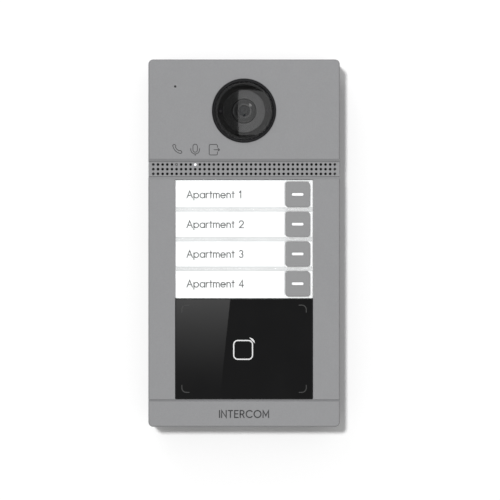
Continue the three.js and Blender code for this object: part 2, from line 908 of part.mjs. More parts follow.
function rearHousing() {
  const wall = HOUSING_WALL;
  const outer = roundedRect(HOUSING_WIDTH, HOUSING_HEIGHT, 2.1);
  const inner = roundedRect(HOUSING_WIDTH - 2 * wall, HOUSING_HEIGHT - 2 * wall, 1);
  const innerBack = HOUSING_BACK + wall;
  const shell = cut(
    slab(outer, HOUSING_BACK, HOUSING_FRONT),
    slab(inner, innerBack, HOUSING_FRONT + BEYOND),
  );
  const recessFront = RECESS.floor + RECESS.floorSkin;
  const recessOutside = block(
    -RECESS.half - RECESS_WALL,
    RECESS.half + RECESS_WALL,
    RECESS.bottom - RECESS_WALL,
    RECESS.top + RECESS_WALL,
    innerBack - 1,
    recessFront,
  );
  const notchOutside = block(
    -LOCK_NOTCH.half - LOCK_NOTCH.wall,
    LOCK_NOTCH.half + LOCK_NOTCH.wall,
    HOUSING_BOTTOM + 1,
    LOCK_NOTCH.top + LOCK_NOTCH.wall,
    innerBack - 1,
    LOCK_NOTCH.front + LOCK_NOTCH.wall,
  );
  const lockBoss = uprightRod(LOCK_BOSS.radius, LOCK_NOTCH.top + 0.5, LOCK_BOSS.top);
  const bosses = corners.map(([sx, sy]) =>
    rod(3.6, innerBack - 0.5, HOUSING_FRONT, sx * CORNER_SCREW.x, sy * CORNER_SCREW.y),
  );
  const plungerGuide = rod(4.4, innerBack - 0.5, 7.2, 0, TAMPER_Y, 8);
  const hookPockets = [-1, 1].map((side) =>
    block(
      side * HOOK_X - HOOK_SLOT.half - HOOK_SLOT.wall,
      side * HOOK_X + HOOK_SLOT.half + HOOK_SLOT.wall,
      HOOK_SLOT.bottom - HOOK_SLOT.wall,
      HOOK_SLOT.lipTop + HOOK_SLOT.wall,
      innerBack - 0.5,
      HOOK_SLOT.depth + HOOK_SLOT.wall,
    ),
  );
  const body = joined(
    shell,
    recessOutside,
    notchOutside,
    lockBoss,
    plungerGuide,
    ...bosses,
    ...hookPockets,
  );
  return cut(
    body,
    block(-RECESS.half, RECESS.half, RECESS.bottom, RECESS.top, 0, RECESS.floor),
    // windows in the recess floor for the jack, the terminals and the memory card
    block(JACK.left - 0.4, JACK.right + 0.4, JACK.bottom - 0.4, JACK.top + 0.4, 10, 13),
    block(HEADER.left - 0.4, HEADER.right + 0.4, HEADER.bottom - 0.4, HEADER.top + 0.4, 10, 13),
    block(-34, -4, -66, -48, 10, 13),
    // the notch that the plate's tab reaches into, and the hole that its screw turns in
    block(
      -LOCK_NOTCH.half,
      LOCK_NOTCH.half,
      HOUSING_BOTTOM - BEYOND,
      LOCK_NOTCH.top,
      0,
      LOCK_NOTCH.front,
    ),
    uprightRod(LOCK_HOLE, LOCK_NOTCH.top - BEYOND, LOCK_BOSS.top + BEYOND),
    // slots for the hooks, and the room above each for its lip
    ...[-1, 1].flatMap((side) => {
      const left = side * HOOK_X - HOOK_SLOT.half;
      const right = side * HOOK_X + HOOK_SLOT.half;
      return [
        block(left, right, HOOK_SLOT.bottom, HOOK_SLOT.top, 0, innerBack + 0.5),
        block(left, right, HOOK_SLOT.bottom, HOOK_SLOT.lipTop, innerBack, HOOK_SLOT.depth),
      ];
    }),
    // the plunger's hole and the room for its collar
    rod(TAMPER_RADIUS + 0.25, 0, 8, 0, TAMPER_Y, 8),
    rod(3.25, innerBack, 8, 0, TAMPER_Y, 8),
    ...corners.flatMap(([sx, sy]) => [
      rod(1.7, 0, HOUSING_FRONT + BEYOND, sx * CORNER_SCREW.x, sy * CORNER_SCREW.y, 5),
      rod(3, 0, CORNER_SCREW.seat, sx * CORNER_SCREW.x, sy * CORNER_SCREW.y, 6),
    ]),
  );
}

// A rod along y, on the locking screw's axis.
function uprightRod(radius, bottom, top, arcs = 7) {
  return rod(radius, bottom, top, 0, 0, arcs).rotateX(-Math.PI / 2).translate(0, 0, LOCK_Z);
}

add("rear_housing", rearHousing(), "darkHousing");

// ---------------------------------------------------------------- housing screws

const cornerScrew = () =>
  turned(
    [
      [0, CORNER_SCREW.headBack + 0.9],
      [1.1, CORNER_SCREW.headBack + 0.9],
      [1.1, CORNER_SCREW.headBack],
      [CORNER_SCREW.head - 0.5, CORNER_SCREW.headBack],
      [CORNER_SCREW.head, CORNER_SCREW.headBack + 0.6],
      [CORNER_SCREW.head, CORNER_SCREW.seat - 0.2],
      [CORNER_SCREW.shank, CORNER_SCREW.seat - 0.2],
      [CORNER_SCREW.shank, CORNER_SCREW.tip - 0.6],
      [0.8, CORNER_SCREW.tip],
      [0, CORNER_SCREW.tip],
    ],
    12,
  );

corners.forEach(([sx, sy], index) => {
  const x = sx * CORNER_SCREW.x;
  add(`housing_screw_${index + 1}`, cornerScrew(), "screwSteel", x, sy * CORNER_SCREW.y);
});

// ---------------------------------------------------------------- wall plate

const HOOK = { sheet: 1.2, reach: 5.4, lip: 4.5 };
const HOOK_TOP = HOOK_SLOT.top - 0.3;

// A hook: a tongue bent forward out of the plate, with a lip turned up at its end.
function hook(side) {
  const x = side * HOOK_X;
  const profile = [
    [HOOK_TOP - HOOK.sheet, 0.2],
    [HOOK_TOP, 0.2],
    [HOOK_TOP, HOOK.reach - HOOK.sheet],
    [HOOK_TOP + HOOK.lip, HOOK.reach - HOOK.sheet],
    [HOOK_TOP + HOOK.lip, HOOK.reach],
    [HOOK_TOP - HOOK.sheet, HOOK.reach],
  ];
  return rail(profile.reverse(), x - HOOK_HALF, x + HOOK_HALF);
}

function wallPlate() {
  const sheet = slab(roundedRect(PLATE.width, PLATE.height, PLATE.corner), 0, PLATE.thickness, 4);
  const cableWindow = slab(roundedRect(62, 44, 3, 0, -44), -BEYOND, 2);
  const boxSlot = (side) => slab(roundedRect(9, 4.5, 2.24, side * 30, 0), -BEYOND, 2);
  const wallHole = ([sx, sy]) => rod(2.25, -BEYOND, 2, sx * 35, sy * 76, 6);
  const plungerSlot = slab(roundedRect(6.4, 14, 3.19, 0, 18), -BEYOND, 2);
  const hookGap = (side) => {
    const x = side * HOOK_X;
    return block(x - HOOK_HALF - 0.3, x + HOOK_HALF + 0.3, 54, HOOK_TOP - HOOK.sheet, -BEYOND, 2);
  };
  const { half, bottom, top, reach } = LOCK_TAB;
  const tongue = block(-half, half, bottom, BEYOND - PLATE.height / 2, 0, PLATE.thickness);
  const tab = block(-half, half, bottom, top, 0, reach);
  const cutSheet = cut(
    sheet,
    cableWindow,
    plungerSlot,
    ...[-1, 1].map(boxSlot),
    ...[-1, 1].map(hookGap),
    ...corners.map(wallHole),
  );
  const screwHole = uprightRod(LOCK_HOLE, bottom - BEYOND, top + BEYOND);
  return cut(joined(cutSheet, tongue, tab, hook(-1), hook(1)), screwHole);
}

add("mounting_plate", wallPlate(), "galvanised");

// ---------------------------------------------------------------- locking screw

const LOCK_WASHER = 0.5;
const LOCK_HEAD_TOP = LOCK_TAB.bottom - LOCK_WASHER - 0.3;
const LOCK_TIP = LOCK_NOTCH.top + 6;

const washerShape = disc(2.9);
washerShape.holes.push(new THREE.Path().absarc(0, 0, 1.65, 0, 2 * Math.PI));
const washer = slab(
  washerShape,
  LOCK_TAB.bottom - LOCK_WASHER - 0.15,
  LOCK_TAB.bottom - 0.15,
  8,
);
add("locking_screw_washer", washer.rotateX(-Math.PI / 2), "screwSteel", 0, 0, LOCK_Z);

const lockingScrew = cut(
  turned(
    [
      [0, LOCK_HEAD_TOP - 1.4],
      [2.3, LOCK_HEAD_TOP - 1.4],
      [2.7, LOCK_HEAD_TOP - 1],
      [2.7, LOCK_HEAD_TOP],
      [1.45, LOCK_HEAD_TOP],
      [1.45, LOCK_TIP - 0.5],
      [1, LOCK_TIP],
      [0, LOCK_TIP],
    ],
    18,
  ),
  rod(1.15, LOCK_HEAD_TOP - 2, LOCK_HEAD_TOP - 0.4, 0, 0, 3), // hexagon socket
);
add("locking_screw", lockingScrew.rotateX(-Math.PI / 2), "screwSteel", 0, 0, LOCK_Z);

// ---------------------------------------------------------------- the row's frame: +Z up, front at -Y

intercom.rotation.x = Math.PI / 2;

export default intercom;
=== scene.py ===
# %% [markdown]
# # A video door station
#
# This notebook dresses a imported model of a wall-mounted door station: a painted metal shell with a
# domed camera window, a perforated speaker strip, lit name rows with square call keys and a glossy
# card window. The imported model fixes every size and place. Each visible piece is rebuilt here with
# the fine edges that a press, a mould or a lathe leaves, and gets a finish made of shader nodes.

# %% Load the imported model
import math
from types import SimpleNamespace

import bmesh
import bpy
from mathutils import Matrix, Vector


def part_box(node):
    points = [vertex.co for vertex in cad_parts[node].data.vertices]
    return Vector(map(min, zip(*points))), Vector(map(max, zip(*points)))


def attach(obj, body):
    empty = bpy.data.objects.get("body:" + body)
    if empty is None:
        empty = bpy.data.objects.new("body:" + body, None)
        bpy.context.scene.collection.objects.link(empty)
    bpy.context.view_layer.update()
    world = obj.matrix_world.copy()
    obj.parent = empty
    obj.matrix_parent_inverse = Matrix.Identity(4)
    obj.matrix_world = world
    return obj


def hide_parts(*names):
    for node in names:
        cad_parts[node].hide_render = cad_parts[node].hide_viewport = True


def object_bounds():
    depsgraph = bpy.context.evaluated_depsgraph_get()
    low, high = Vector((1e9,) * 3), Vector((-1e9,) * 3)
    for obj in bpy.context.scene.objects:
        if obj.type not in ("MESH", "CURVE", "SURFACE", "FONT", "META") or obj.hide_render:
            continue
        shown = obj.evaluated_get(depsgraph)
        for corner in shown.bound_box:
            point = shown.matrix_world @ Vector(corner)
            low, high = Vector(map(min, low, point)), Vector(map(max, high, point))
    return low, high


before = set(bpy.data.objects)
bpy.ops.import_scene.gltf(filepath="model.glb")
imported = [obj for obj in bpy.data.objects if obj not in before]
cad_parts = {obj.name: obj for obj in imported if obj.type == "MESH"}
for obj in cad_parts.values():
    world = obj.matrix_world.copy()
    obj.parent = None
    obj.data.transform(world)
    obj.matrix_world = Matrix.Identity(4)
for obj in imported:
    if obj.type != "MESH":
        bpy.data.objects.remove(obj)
cad_low, cad_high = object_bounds()

# %% [markdown]
# The model stands in metres with the wall behind it along +Y. A panel is easier to draw the way its
# maker draws it: in millimetres, with x to the right, y up and z out of the wall. One matrix turns
# such a drawing into the model's frame, and `span` reads a node's box the same way.

# %% Draw in millimetres, as seen from the front
MILLIMETRE = 0.001
TO_MODEL = Matrix.Rotation(math.radians(90), 4, "X") @ Matrix.Scale(MILLIMETRE, 4)


def span(node):
    low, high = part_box(node)
    box = SimpleNamespace(
        left=low.x / MILLIMETRE,
        right=high.x / MILLIMETRE,
        bottom=low.z / MILLIMETRE,
        top=high.z / MILLIMETRE,
        back=-high.y / MILLIMETRE,
        front=-low.y / MILLIMETRE,
    )
    box.x = (box.left + box.right) / 2
    box.y = (box.bottom + box.top) / 2
    box.width = box.right - box.left
    box.height = box.top - box.bottom
    return box


shell = span("front_panel")
print("shell", round(shell.width, 1), "x", round(shell.height, 1), "mm, face at", round(shell.front, 1))

# %% [markdown]
# ## Drawing tools
#
# Almost every piece here starts from a rounded rectangle or a circle. An outline is kept as a
# function of its inset, so that the same outline can be drawn a little smaller or larger: that is
# all a rounded edge needs.

# %% Outlines
CORNER_STEPS = 8
CIRCLE_STEPS = 48


def arc(x, y, radius, start, end, steps):
    turns = [math.radians(start + (end - start) * i / steps) for i in range(steps + 1)]
    return [(x + radius * math.cos(a), y + radius * math.sin(a)) for a in turns]


def rounded(width, height, radius, x=0.0, y=0.0, steps=CORNER_STEPS):
    def outline(inset=0.0):
        r = max(radius - inset, 0.02)
        dx = width / 2 - inset - r
        dy = height / 2 - inset - r
        quarters = [(dx, -dy, -90), (dx, dy, 0), (-dx, dy, 90), (-dx, -dy, 180)]
        return [p for cx, cy, a in quarters for p in arc(x + cx, y + cy, r, a, a + 90, steps)]

    return outline


def box_outline(left, right, bottom, top, radius=0.3, steps=3):
    return rounded(right - left, top - bottom, radius, (left + right) / 2, (bottom + top) / 2, steps)


def circle(radius, x=0.0, y=0.0, steps=CIRCLE_STEPS):
    def outline(inset=0.0):
        return arc(x, y, radius - inset, 0, 360, steps)[:-1]

    return outline


# %% [markdown]
# A loft joins a stack of rings into one closed skin. `slab` stacks an outline from back to front and
# rounds the edges over a quarter circle. `opening` is its counterpart for cutting: it flares out
# where it leaves the surface, so the hole that it cuts has a soft rim, as a cast or moulded hole has.

# %% Lofts, slabs and openings
EDGE_STEPS = 4
PAST = 1.0


def loft(rings):
    mesh = bmesh.new()
    loops = [[mesh.verts.new(point) for point in ring] for ring in rings]
    for lower, upper in zip(loops, loops[1:]):
        for i in range(len(lower)):
            j = (i + 1) % len(lower)
            mesh.faces.new((lower[i], lower[j], upper[j], upper[i]))
    mesh.faces.new(reversed(loops[0]))
    mesh.faces.new(loops[-1])
    return mesh


def ring_at(outline, inset, z):
    return [(x, y, z) for x, y in outline(inset)]


def quarter(radius, steps=EDGE_STEPS):
    if radius <= 0:
        return [(0.0, 0.0)]
    angles = [math.pi / 2 * i / steps for i in range(steps + 1)]
    return [(radius - radius * math.cos(a), radius * math.sin(a)) for a in angles]


def slab(outline, back, front, edge=0.3, back_edge=0.0, steps=EDGE_STEPS):
    rising = [(inset, back + back_edge - rise) for inset, rise in reversed(quarter(back_edge, steps))]
    falling = [(inset, front - edge + rise) for inset, rise in quarter(edge, steps)]
    return loft([ring_at(outline, inset, z) for inset, z in rising + falling])


def opening(outline, back, face, rim=0.25, steps=EDGE_STEPS):
    flare = [(-inset, face - rim + rise) for inset, rise in quarter(rim, steps)]
    stack = [(0.0, back), *flare, (-rim, face + PAST)]
    return loft([ring_at(outline, inset, z) for inset, z in stack])


# %% [markdown]
# Turned pieces come from a profile of radius and height, run round the axis. Folded or grooved ones
# come from a profile run along x. `filleted` rounds the corners of such a profile: a third number on
# a point is the radius of its corner.

# %% Turned and extruded profiles
TURN_STEPS = 96


def filleted(points, closed=True, steps=5):
    made = []
    count = len(points)
    for i, point in enumerate(points):
        here = Vector(point[:2])
        radius = point[2] if len(point) > 2 else 0.0
        if radius <= 0 or (not closed and i in (0, count - 1)):
            made.append(tuple(here))
            continue
        before = (Vector(points[i - 1][:2]) - here).normalized()
        after = (Vector(points[(i + 1) % count][:2]) - here).normalized()
        half = before.angle(after) / 2
        reach = radius / math.tan(half)
        centre = here + (before + after).normalized() * (radius / math.sin(half))
        first = here + before * reach - centre
        sweep = first.angle_signed(here + after * reach - centre)
        for k in range(steps + 1):
            made.append(tuple(centre + Matrix.Rotation(-sweep * k / steps, 2) @ first))
    return made


def turned(profile, x=0.0, y=0.0, steps=TURN_STEPS, squeeze=1.0):
    """A profile of (radius, z) turned about z. It is closed, or starts and ends on the axis."""
    on_axis = profile[0][0] == 0 and profile[-1][0] == 0
    mesh = bmesh.new()
    rings = []
    for radius, z in profile:
        if radius == 0:
            rings.append([mesh.verts.new((x, y, z))])
            continue
        points = arc(0, 0, radius, 0, 360, steps)[:-1]
        rings.append([mesh.verts.new((x + squeeze * px, y + py, z)) for px, py in points])
    pairs = list(zip(rings, rings[1:]))
    if not on_axis:
        pairs.append((rings[-1], rings[0]))
    for inner, outer in pairs:
        for i in range(steps):
            j = (i + 1) % steps
            near = [inner[i % len(inner)], outer[i % len(outer)]]
            far = [outer[j % len(outer)], inner[j % len(inner)]]
            mesh.faces.new(list(dict.fromkeys(near + far)))
    bmesh.ops.recalc_face_normals(mesh, faces=mesh.faces)
    return mesh


def rail(profile, left, right):
    """A profile of (y, z) run along x."""
    mesh = loft([[(x, y, z) for y, z in profile] for x in (left, right)])
    bmesh.ops.recalc_face_normals(mesh, faces=mesh.faces)
    return mesh


# %% [markdown]
# A real part is rarely one simple shape, so shapes are joined and cut with Boolean modifiers. The
# Manifold solver is quick and keeps a closed skin closed. The modifier is applied at once, and the
# tools are thrown away.

# %% Joining and cutting
def solid(mesh):
    """A scratch object from a bmesh."""
    data = bpy.data.meshes.new("scratch")
    mesh.to_mesh(data)
    mesh.free()
    made = bpy.data.objects.new("scratch", data)
    bpy.context.scene.collection.objects.link(made)
    return made


def applied(target):
    graph = bpy.context.evaluated_depsgraph_get()
    data = bpy.data.meshes.new_from_object(target.evaluated_get(graph))
    target.modifiers.clear()
    old = target.data
    target.data = data
    bpy.data.meshes.remove(old)
    return target


def combine(target, operation, tools):
    if isinstance(target, bmesh.types.BMesh):
        target = solid(target)
    tools = [solid(t) if isinstance(t, bmesh.types.BMesh) else t for t in tools]
    for tool in tools:
        modifier = target.modifiers.new("tool", "BOOLEAN")
        modifier.operation = operation
        modifier.solver = "MANIFOLD"
        modifier.object = tool
    applied(target)
    for tool in tools:
        data = tool.data
        bpy.data.objects.remove(tool)
        bpy.data.meshes.remove(data)
    return target


def cut(target, *tools):
    return combine(target, "DIFFERENCE", tools)


def joined(target, *tools):
    return combine(target, "UNION", tools)


def together(meshes):
    """Separate shapes that don't touch, as one bmesh, so that a Boolean takes them in one go."""
    whole = bmesh.new()
    for mesh in meshes:
        data = bpy.data.meshes.new("scratch")
        mesh.to_mesh(data)
        mesh.free()
        whole.from_mesh(data)
        bpy.data.meshes.remove(data)
    return whole


# %% [markdown]
# `piece` turns a drawing into a finished part: it moves it into the model's frame, smooths the
# rounded edges while the flat faces stay flat (weighted normals let the large faces win), gives it
# its finish, hangs it on the body that it rides on, and hides the imported nodes that it stands for.

# %% Finished pieces
SHARP_ANGLE = math.radians(32)


def piece(name, shape, finish, stands_for=(), flat=False, body="station"):
    made = solid(shape) if isinstance(shape, bmesh.types.BMesh) else shape
    made.name = name
    made.data.name = name
    made.data.transform(TO_MODEL)
    made.data.polygons.foreach_set("use_smooth", [not flat] * len(made.data.polygons))
    if not flat:
        made.data.set_sharp_from_angle(angle=SHARP_ANGLE)
        weighted = made.modifiers.new("weighted", "WEIGHTED_NORMAL")
        weighted.keep_sharp = True
        applied(made)
    made.data.materials.clear()
    made.data.materials.append(finish)
    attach(made, body)
    if stands_for:
        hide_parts(*stands_for)
    return made


# %% [markdown]
# ## Finishes
#
# A finish is a Principled shader with small differences painted into it: a coat of powder paint is
# never quite even, a moulded part has a fine grain, and a handled edge is a little smoother. All the
# patterns are read in object coordinates, in metres, so a scale of 1000 gives features of about a
# millimetre. Numbers that are the same everywhere are set on the shader itself.

# %% Shader helpers
def shader(name, **sockets):
    material = bpy.data.materials.new(name)
    material.use_nodes = True
    principled = material.node_tree.nodes["Principled BSDF"]
    for socket, value in sockets.items():
        principled.inputs[socket.replace("_", " ")].default_value = value
    return material, material.node_tree, principled


def noise(tree, scale, detail=2.0, rough=0.5, stretch=(1, 1, 1)):
    place = tree.nodes.new("ShaderNodeTexCoord")
    mapping = tree.nodes.new("ShaderNodeMapping")
    mapping.inputs["Scale"].default_value = stretch
    tree.links.new(place.outputs["Object"], mapping.inputs["Vector"])
    texture = tree.nodes.new("ShaderNodeTexNoise")
    texture.inputs["Scale"].default_value = scale
    texture.inputs["Detail"].default_value = detail
    texture.inputs["Roughness"].default_value = rough
    tree.links.new(mapping.outputs["Vector"], texture.inputs["Vector"])
    return texture.outputs["Fac"]


def ramp(tree, value, low, high, start=0.35, end=0.65):
    """Maps a pattern between two greys or colours."""
    node = tree.nodes.new("ShaderNodeValToRGB")
    for stop, place, colour in zip(node.color_ramp.elements, (start, end), (low, high)):
        stop.position = place
        stop.color = (colour,) * 3 + (1,) if isinstance(colour, float) else (*colour, 1)
    tree.links.new(value, node.inputs["Fac"])
    return node.outputs["Color"]


def bump(tree, principled, value, depth, strength=1.0):
    """Raises a pattern by a depth in millimetres."""
    node = tree.nodes.new("ShaderNodeBump")
    node.inputs["Strength"].default_value = strength
    node.inputs["Distance"].default_value = depth * MILLIMETRE
    tree.links.new(value, node.inputs["Height"])
    before = principled.inputs["Normal"].links
    if before:
        tree.links.new(before[0].from_socket, node.inputs["Normal"])
    tree.links.new(node.outputs["Normal"], principled.inputs["Normal"])


def grained(name, dark, light, rough, grain, depth, blotch=60.0, **sockets):
    """A plain finish with a fine grain, slight blotches of colour and uneven gloss."""
    material, tree, principled = shader(name, **sockets)
    tree.links.new(ramp(tree, noise(tree, blotch, 3), dark, light), principled.inputs["Base Color"])
    gloss = ramp(tree, noise(tree, blotch * 2.3, 3), rough[0], rough[1])
    tree.links.new(gloss, principled.inputs["Roughness"])
    bump(tree, principled, noise(tree, grain, 2), depth)
    return material


# %% [markdown]
# The shell is cast metal with a satin silver-grey powder coat: mostly a diffuse grey, with a little
# metal flake in it and a faint orange-peel surface. The keys carry the same colour on plastic, which
# is a touch lighter and smoother.

# %% Paints and plastics
def silver_paint(name, dark, light, metallic, rough):
    material, tree, principled = shader(name, Metallic=metallic, IOR=1.48)
    speckle = noise(tree, 5200, 1)
    tree.links.new(ramp(tree, speckle, dark, light, 0.3, 0.7), principled.inputs["Base Color"])
    gloss = ramp(tree, noise(tree, 140, 3), rough - 0.03, rough + 0.03)
    tree.links.new(gloss, principled.inputs["Roughness"])
    bump(tree, principled, noise(tree, 900, 2), 0.006)
    bump(tree, principled, speckle, 0.003)
    return material


PANEL_PAINT = silver_paint("panel_paint", (0.295, 0.296, 0.303), (0.345, 0.346, 0.353), 0.25, 0.42)
KEY_PAINT = silver_paint("key_paint", (0.285, 0.286, 0.290), (0.320, 0.321, 0.325), 0.15, 0.36)
BEZEL_BLACK = grained(
    "bezel_black",
    (0.006, 0.006, 0.007),
    (0.010, 0.010, 0.011),
    (0.16, 0.22),
    2400,
    0.002,
    Specular_IOR_Level=0.3,
)
HOUSING_BLACK = grained(
    "housing_black", (0.020, 0.021, 0.023), (0.032, 0.033, 0.035), (0.5, 0.62), 2600, 0.02
)
CONNECTOR_BLACK = grained(
    "connector_black", (0.014, 0.014, 0.015), (0.024, 0.024, 0.025), (0.4, 0.5), 2800, 0.01
)
SPEAKER_BLACK = grained(
    "speaker_black", (0.012, 0.012, 0.013), (0.03, 0.03, 0.031), (0.55, 0.7), 1800, 0.02
)
LENS_BLACK = grained(
    "lens_black", (0.26, 0.262, 0.266), (0.30, 0.302, 0.306), (0.15, 0.19), 2600, 0.001, 80, Metallic=0.95
)
BARREL_BLACK = grained(
    "barrel_black",
    (0.12, 0.121, 0.125),
    (0.15, 0.152, 0.156),
    (0.18, 0.24),
    2600,
    0.001,
    80,
    Metallic=0.9,
)
RUBBER = grained("rubber", (0.010, 0.010, 0.010), (0.018, 0.018, 0.018), (0.75, 0.9), 3200, 0.012)
CLOTH = grained("acoustic_cloth", (0.004, 0.004, 0.004), (0.012, 0.012, 0.012), (0.9, 1.0), 5200, 0.05)
SILICONE = grained(
    "silicone", (0.55, 0.55, 0.53), (0.66, 0.66, 0.64), (0.5, 0.62), 2600, 0.008, Subsurface_Weight=0.2
)
TERMINAL_GREEN = grained(
    "terminal_green", (0.022, 0.16, 0.05), (0.035, 0.22, 0.075), (0.38, 0.5), 2600, 0.008
)
ACETAL = grained("acetal", (0.66, 0.66, 0.63), (0.76, 0.76, 0.73), (0.3, 0.4), 1800, 0.004)
INK = grained("ink", (0.045, 0.045, 0.046), (0.060, 0.060, 0.061), (0.5, 0.6), 6000, 0.002)
print("paints and plastics ready")

# %% [markdown]
# Metals are told apart by what was done to them. The wall plate is zinc-plated sheet, with large
# pale spangles. The screws are drawn wire with fine lines, and the tinned cans are smoother.

# %% Metals
def brushed(name, dark, light, rough, along=(1, 1, 1), grain=2600, depth=0.004):
    material, tree, principled = shader(name, Metallic=1.0)
    streaks = noise(tree, grain, 4, 0.6, along)
    tree.links.new(ramp(tree, streaks, dark, light), principled.inputs["Base Color"])
    gloss = ramp(tree, noise(tree, 180, 3), rough - 0.05, rough + 0.07)
    tree.links.new(gloss, principled.inputs["Roughness"])
    bump(tree, principled, streaks, depth)
    return material


def zinc_plate(name):
    material, tree, principled = shader(name, Metallic=1.0)
    place = tree.nodes.new("ShaderNodeTexCoord")
    spangle = tree.nodes.new("ShaderNodeTexVoronoi")
    spangle.inputs["Scale"].default_value = 420
    tree.links.new(place.outputs["Object"], spangle.inputs["Vector"])
    grey = ramp(tree, spangle.outputs["Color"], (0.49, 0.50, 0.51), (0.56, 0.57, 0.58), 0.1, 0.9)
    tree.links.new(grey, principled.inputs["Base Color"])
    gloss = ramp(tree, spangle.outputs["Color"], 0.34, 0.52, 0.2, 0.8)
    tree.links.new(gloss, principled.inputs["Roughness"])
    bump(tree, principled, noise(tree, 1500, 3), 0.006)
    return material


ZINC = zinc_plate("zinc_plate")
SCREW_STEEL = brushed("screw_steel", (0.40, 0.40, 0.41), (0.56, 0.56, 0.57), 0.28, (1, 1, 6))
TINNED = brushed("tinned_steel", (0.52, 0.52, 0.53), (0.66, 0.66, 0.67), 0.3, (6, 1, 1), 1800)
NICKEL = brushed("nickel", (0.50, 0.49, 0.47), (0.62, 0.61, 0.58), 0.22, (1, 1, 1), 1200, 0.002)
GOLD = brushed("gold_contact", (0.70, 0.50, 0.20), (0.86, 0.64, 0.30), 0.22, (1, 1, 4), 2200, 0.002)
print("metals ready")

# %% [markdown]
# The white frame behind the names is lit from inside, so it glows a little. The cards are paper with
# a visible fibre, and they glow a little too: their emission paints the frame's light shining through
# them. The covers are clear: only a thin part of the light is reflected, and the rest goes
# straight through, which a mix of a transparent and a glossy shader says without slow refraction.

# %% Lit, clear and printed surfaces
WHITE_FRAME = grained(
    "white_diffuser",
    (0.86, 0.86, 0.86),
    (0.90, 0.90, 0.90),
    (0.42, 0.5),
    2200,
    0.003,
    Emission_Color=(1, 1, 1, 1),
    Emission_Strength=0.22,
)
PAPER = grained(
    "name_paper",
    (0.88, 0.88, 0.875),
    (0.93, 0.93, 0.925),
    (0.8, 0.92),
    3800,
    0.01,
    400,
    Emission_Color=(1, 1, 1, 1),
    Emission_Strength=0.12,
)
LIGHT_BAR = grained(
    "light_bar",
    (0.90, 0.91, 0.92),
    (0.95, 0.95, 0.96),
    (0.3, 0.4),
    2600,
    0.003,
    Emission_Color=(1, 1, 1, 1),
    Emission_Strength=0.06,
)


def clear(name, tint, rough, grain, body=(0.004, 0.004, 0.0045)):
    """Lets through the share of light in tint at each surface, and mirrors about 4 percent."""
    material, tree, principled = shader(name, IOR=1.5)
    dust = ramp(tree, noise(tree, grain / 3, 3), body, tuple(1.5 * c for c in body))
    tree.links.new(dust, principled.inputs["Base Color"])
    gloss = ramp(tree, noise(tree, grain, 3), rough, rough + 0.02)
    tree.links.new(gloss, principled.inputs["Roughness"])
    through = tree.nodes.new("ShaderNodeBsdfTransparent")
    through.inputs["Color"].default_value = (*tint, 1)
    both = tree.nodes.new("ShaderNodeAddShader")
    tree.links.new(principled.outputs["BSDF"], both.inputs[0])
    tree.links.new(through.outputs["BSDF"], both.inputs[1])
    tree.links.new(both.outputs["Shader"], tree.nodes["Material Output"].inputs["Surface"])
    return material


CLEAR_COVER = clear("clear_cover", (0.965, 0.97, 0.97), 0.06, 300)
SMOKED_WINDOW = clear("smoked_window", (0.70, 0.70, 0.70), 0.02, 200, (0.002, 0.002, 0.002))
LENS_GLASS = clear("lens_glass", (0.42, 0.48, 0.55), 0.02, 200)
NIGHT_LAMP = clear("night_lamp", (0.40, 0.34, 0.42), 0.06, 300, (0.01, 0.008, 0.012))
BLACK_GLOSS = grained(
    "black_gloss", (0.0082, 0.0082, 0.0085), (0.0098, 0.0098, 0.0101), (0.005, 0.01), 260, 0.0001, 40
)
print("clear and lit surfaces ready")

# %% [markdown]
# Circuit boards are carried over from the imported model. Their solder mask is a dark green lacquer
# over copper, so a pattern of thin raised tracks, a little lighter than the rest, runs across it.

# %% Circuit board
def circuit_board(name):
    material, tree, principled = shader(name, IOR=1.5)
    place = tree.nodes.new("ShaderNodeTexCoord")
    tracks = tree.nodes.new("ShaderNodeTexBrick")
    tracks.inputs["Scale"].default_value = 260
    tracks.inputs["Mortar Size"].default_value = 0.05
    tracks.inputs["Color1"].default_value = (0.0, 0.0, 0.0, 1)
    tracks.inputs["Color2"].default_value = (0.2, 0.2, 0.2, 1)
    tracks.inputs["Mortar"].default_value = (1, 1, 1, 1)
    turn = tree.nodes.new("ShaderNodeMapping")
    turn.inputs["Rotation"].default_value = (math.radians(90), 0, 0)
    tree.links.new(place.outputs["Object"], turn.inputs["Vector"])
    tree.links.new(turn.outputs["Vector"], tracks.inputs["Vector"])
    green = ramp(tree, tracks.outputs["Color"], (0.008, 0.055, 0.022), (0.02, 0.12, 0.05), 0.0, 1.0)
    tree.links.new(green, principled.inputs["Base Color"])
    gloss = ramp(tree, noise(tree, 300, 3), 0.25, 0.42)
    tree.links.new(gloss, principled.inputs["Roughness"])
    bump(tree, principled, tracks.outputs["Color"], 0.03)
    return material


CIRCUIT_BOARD = circuit_board("circuit_board")

# %% [markdown]
# ## The camera and the light
#
# The camera stands far away with a long lens, straight on. A soft frontal sun from the upper left
# throws the short shadow on the wall. The black parts are only as good as what they
# mirror: a large soft light stands to the right for the domed window, a small graded card hangs
# beside the lens for the flat one, and a black flag behind both keeps the rest of them dark. The
# card and the flag are seen in reflections only.

# %% Camera
panel_middle = Vector(((cad_low.x + cad_high.x) / 2, 0, (cad_low.z + cad_high.z) / 2))
CAMERA_DISTANCE = 2.0
FRAME_WIDTH = 0.26125  # width of the view at the panel's face, in metres
CAMERA_RIGHT = 0.0031
CAMERA_DOWN = 0.0036

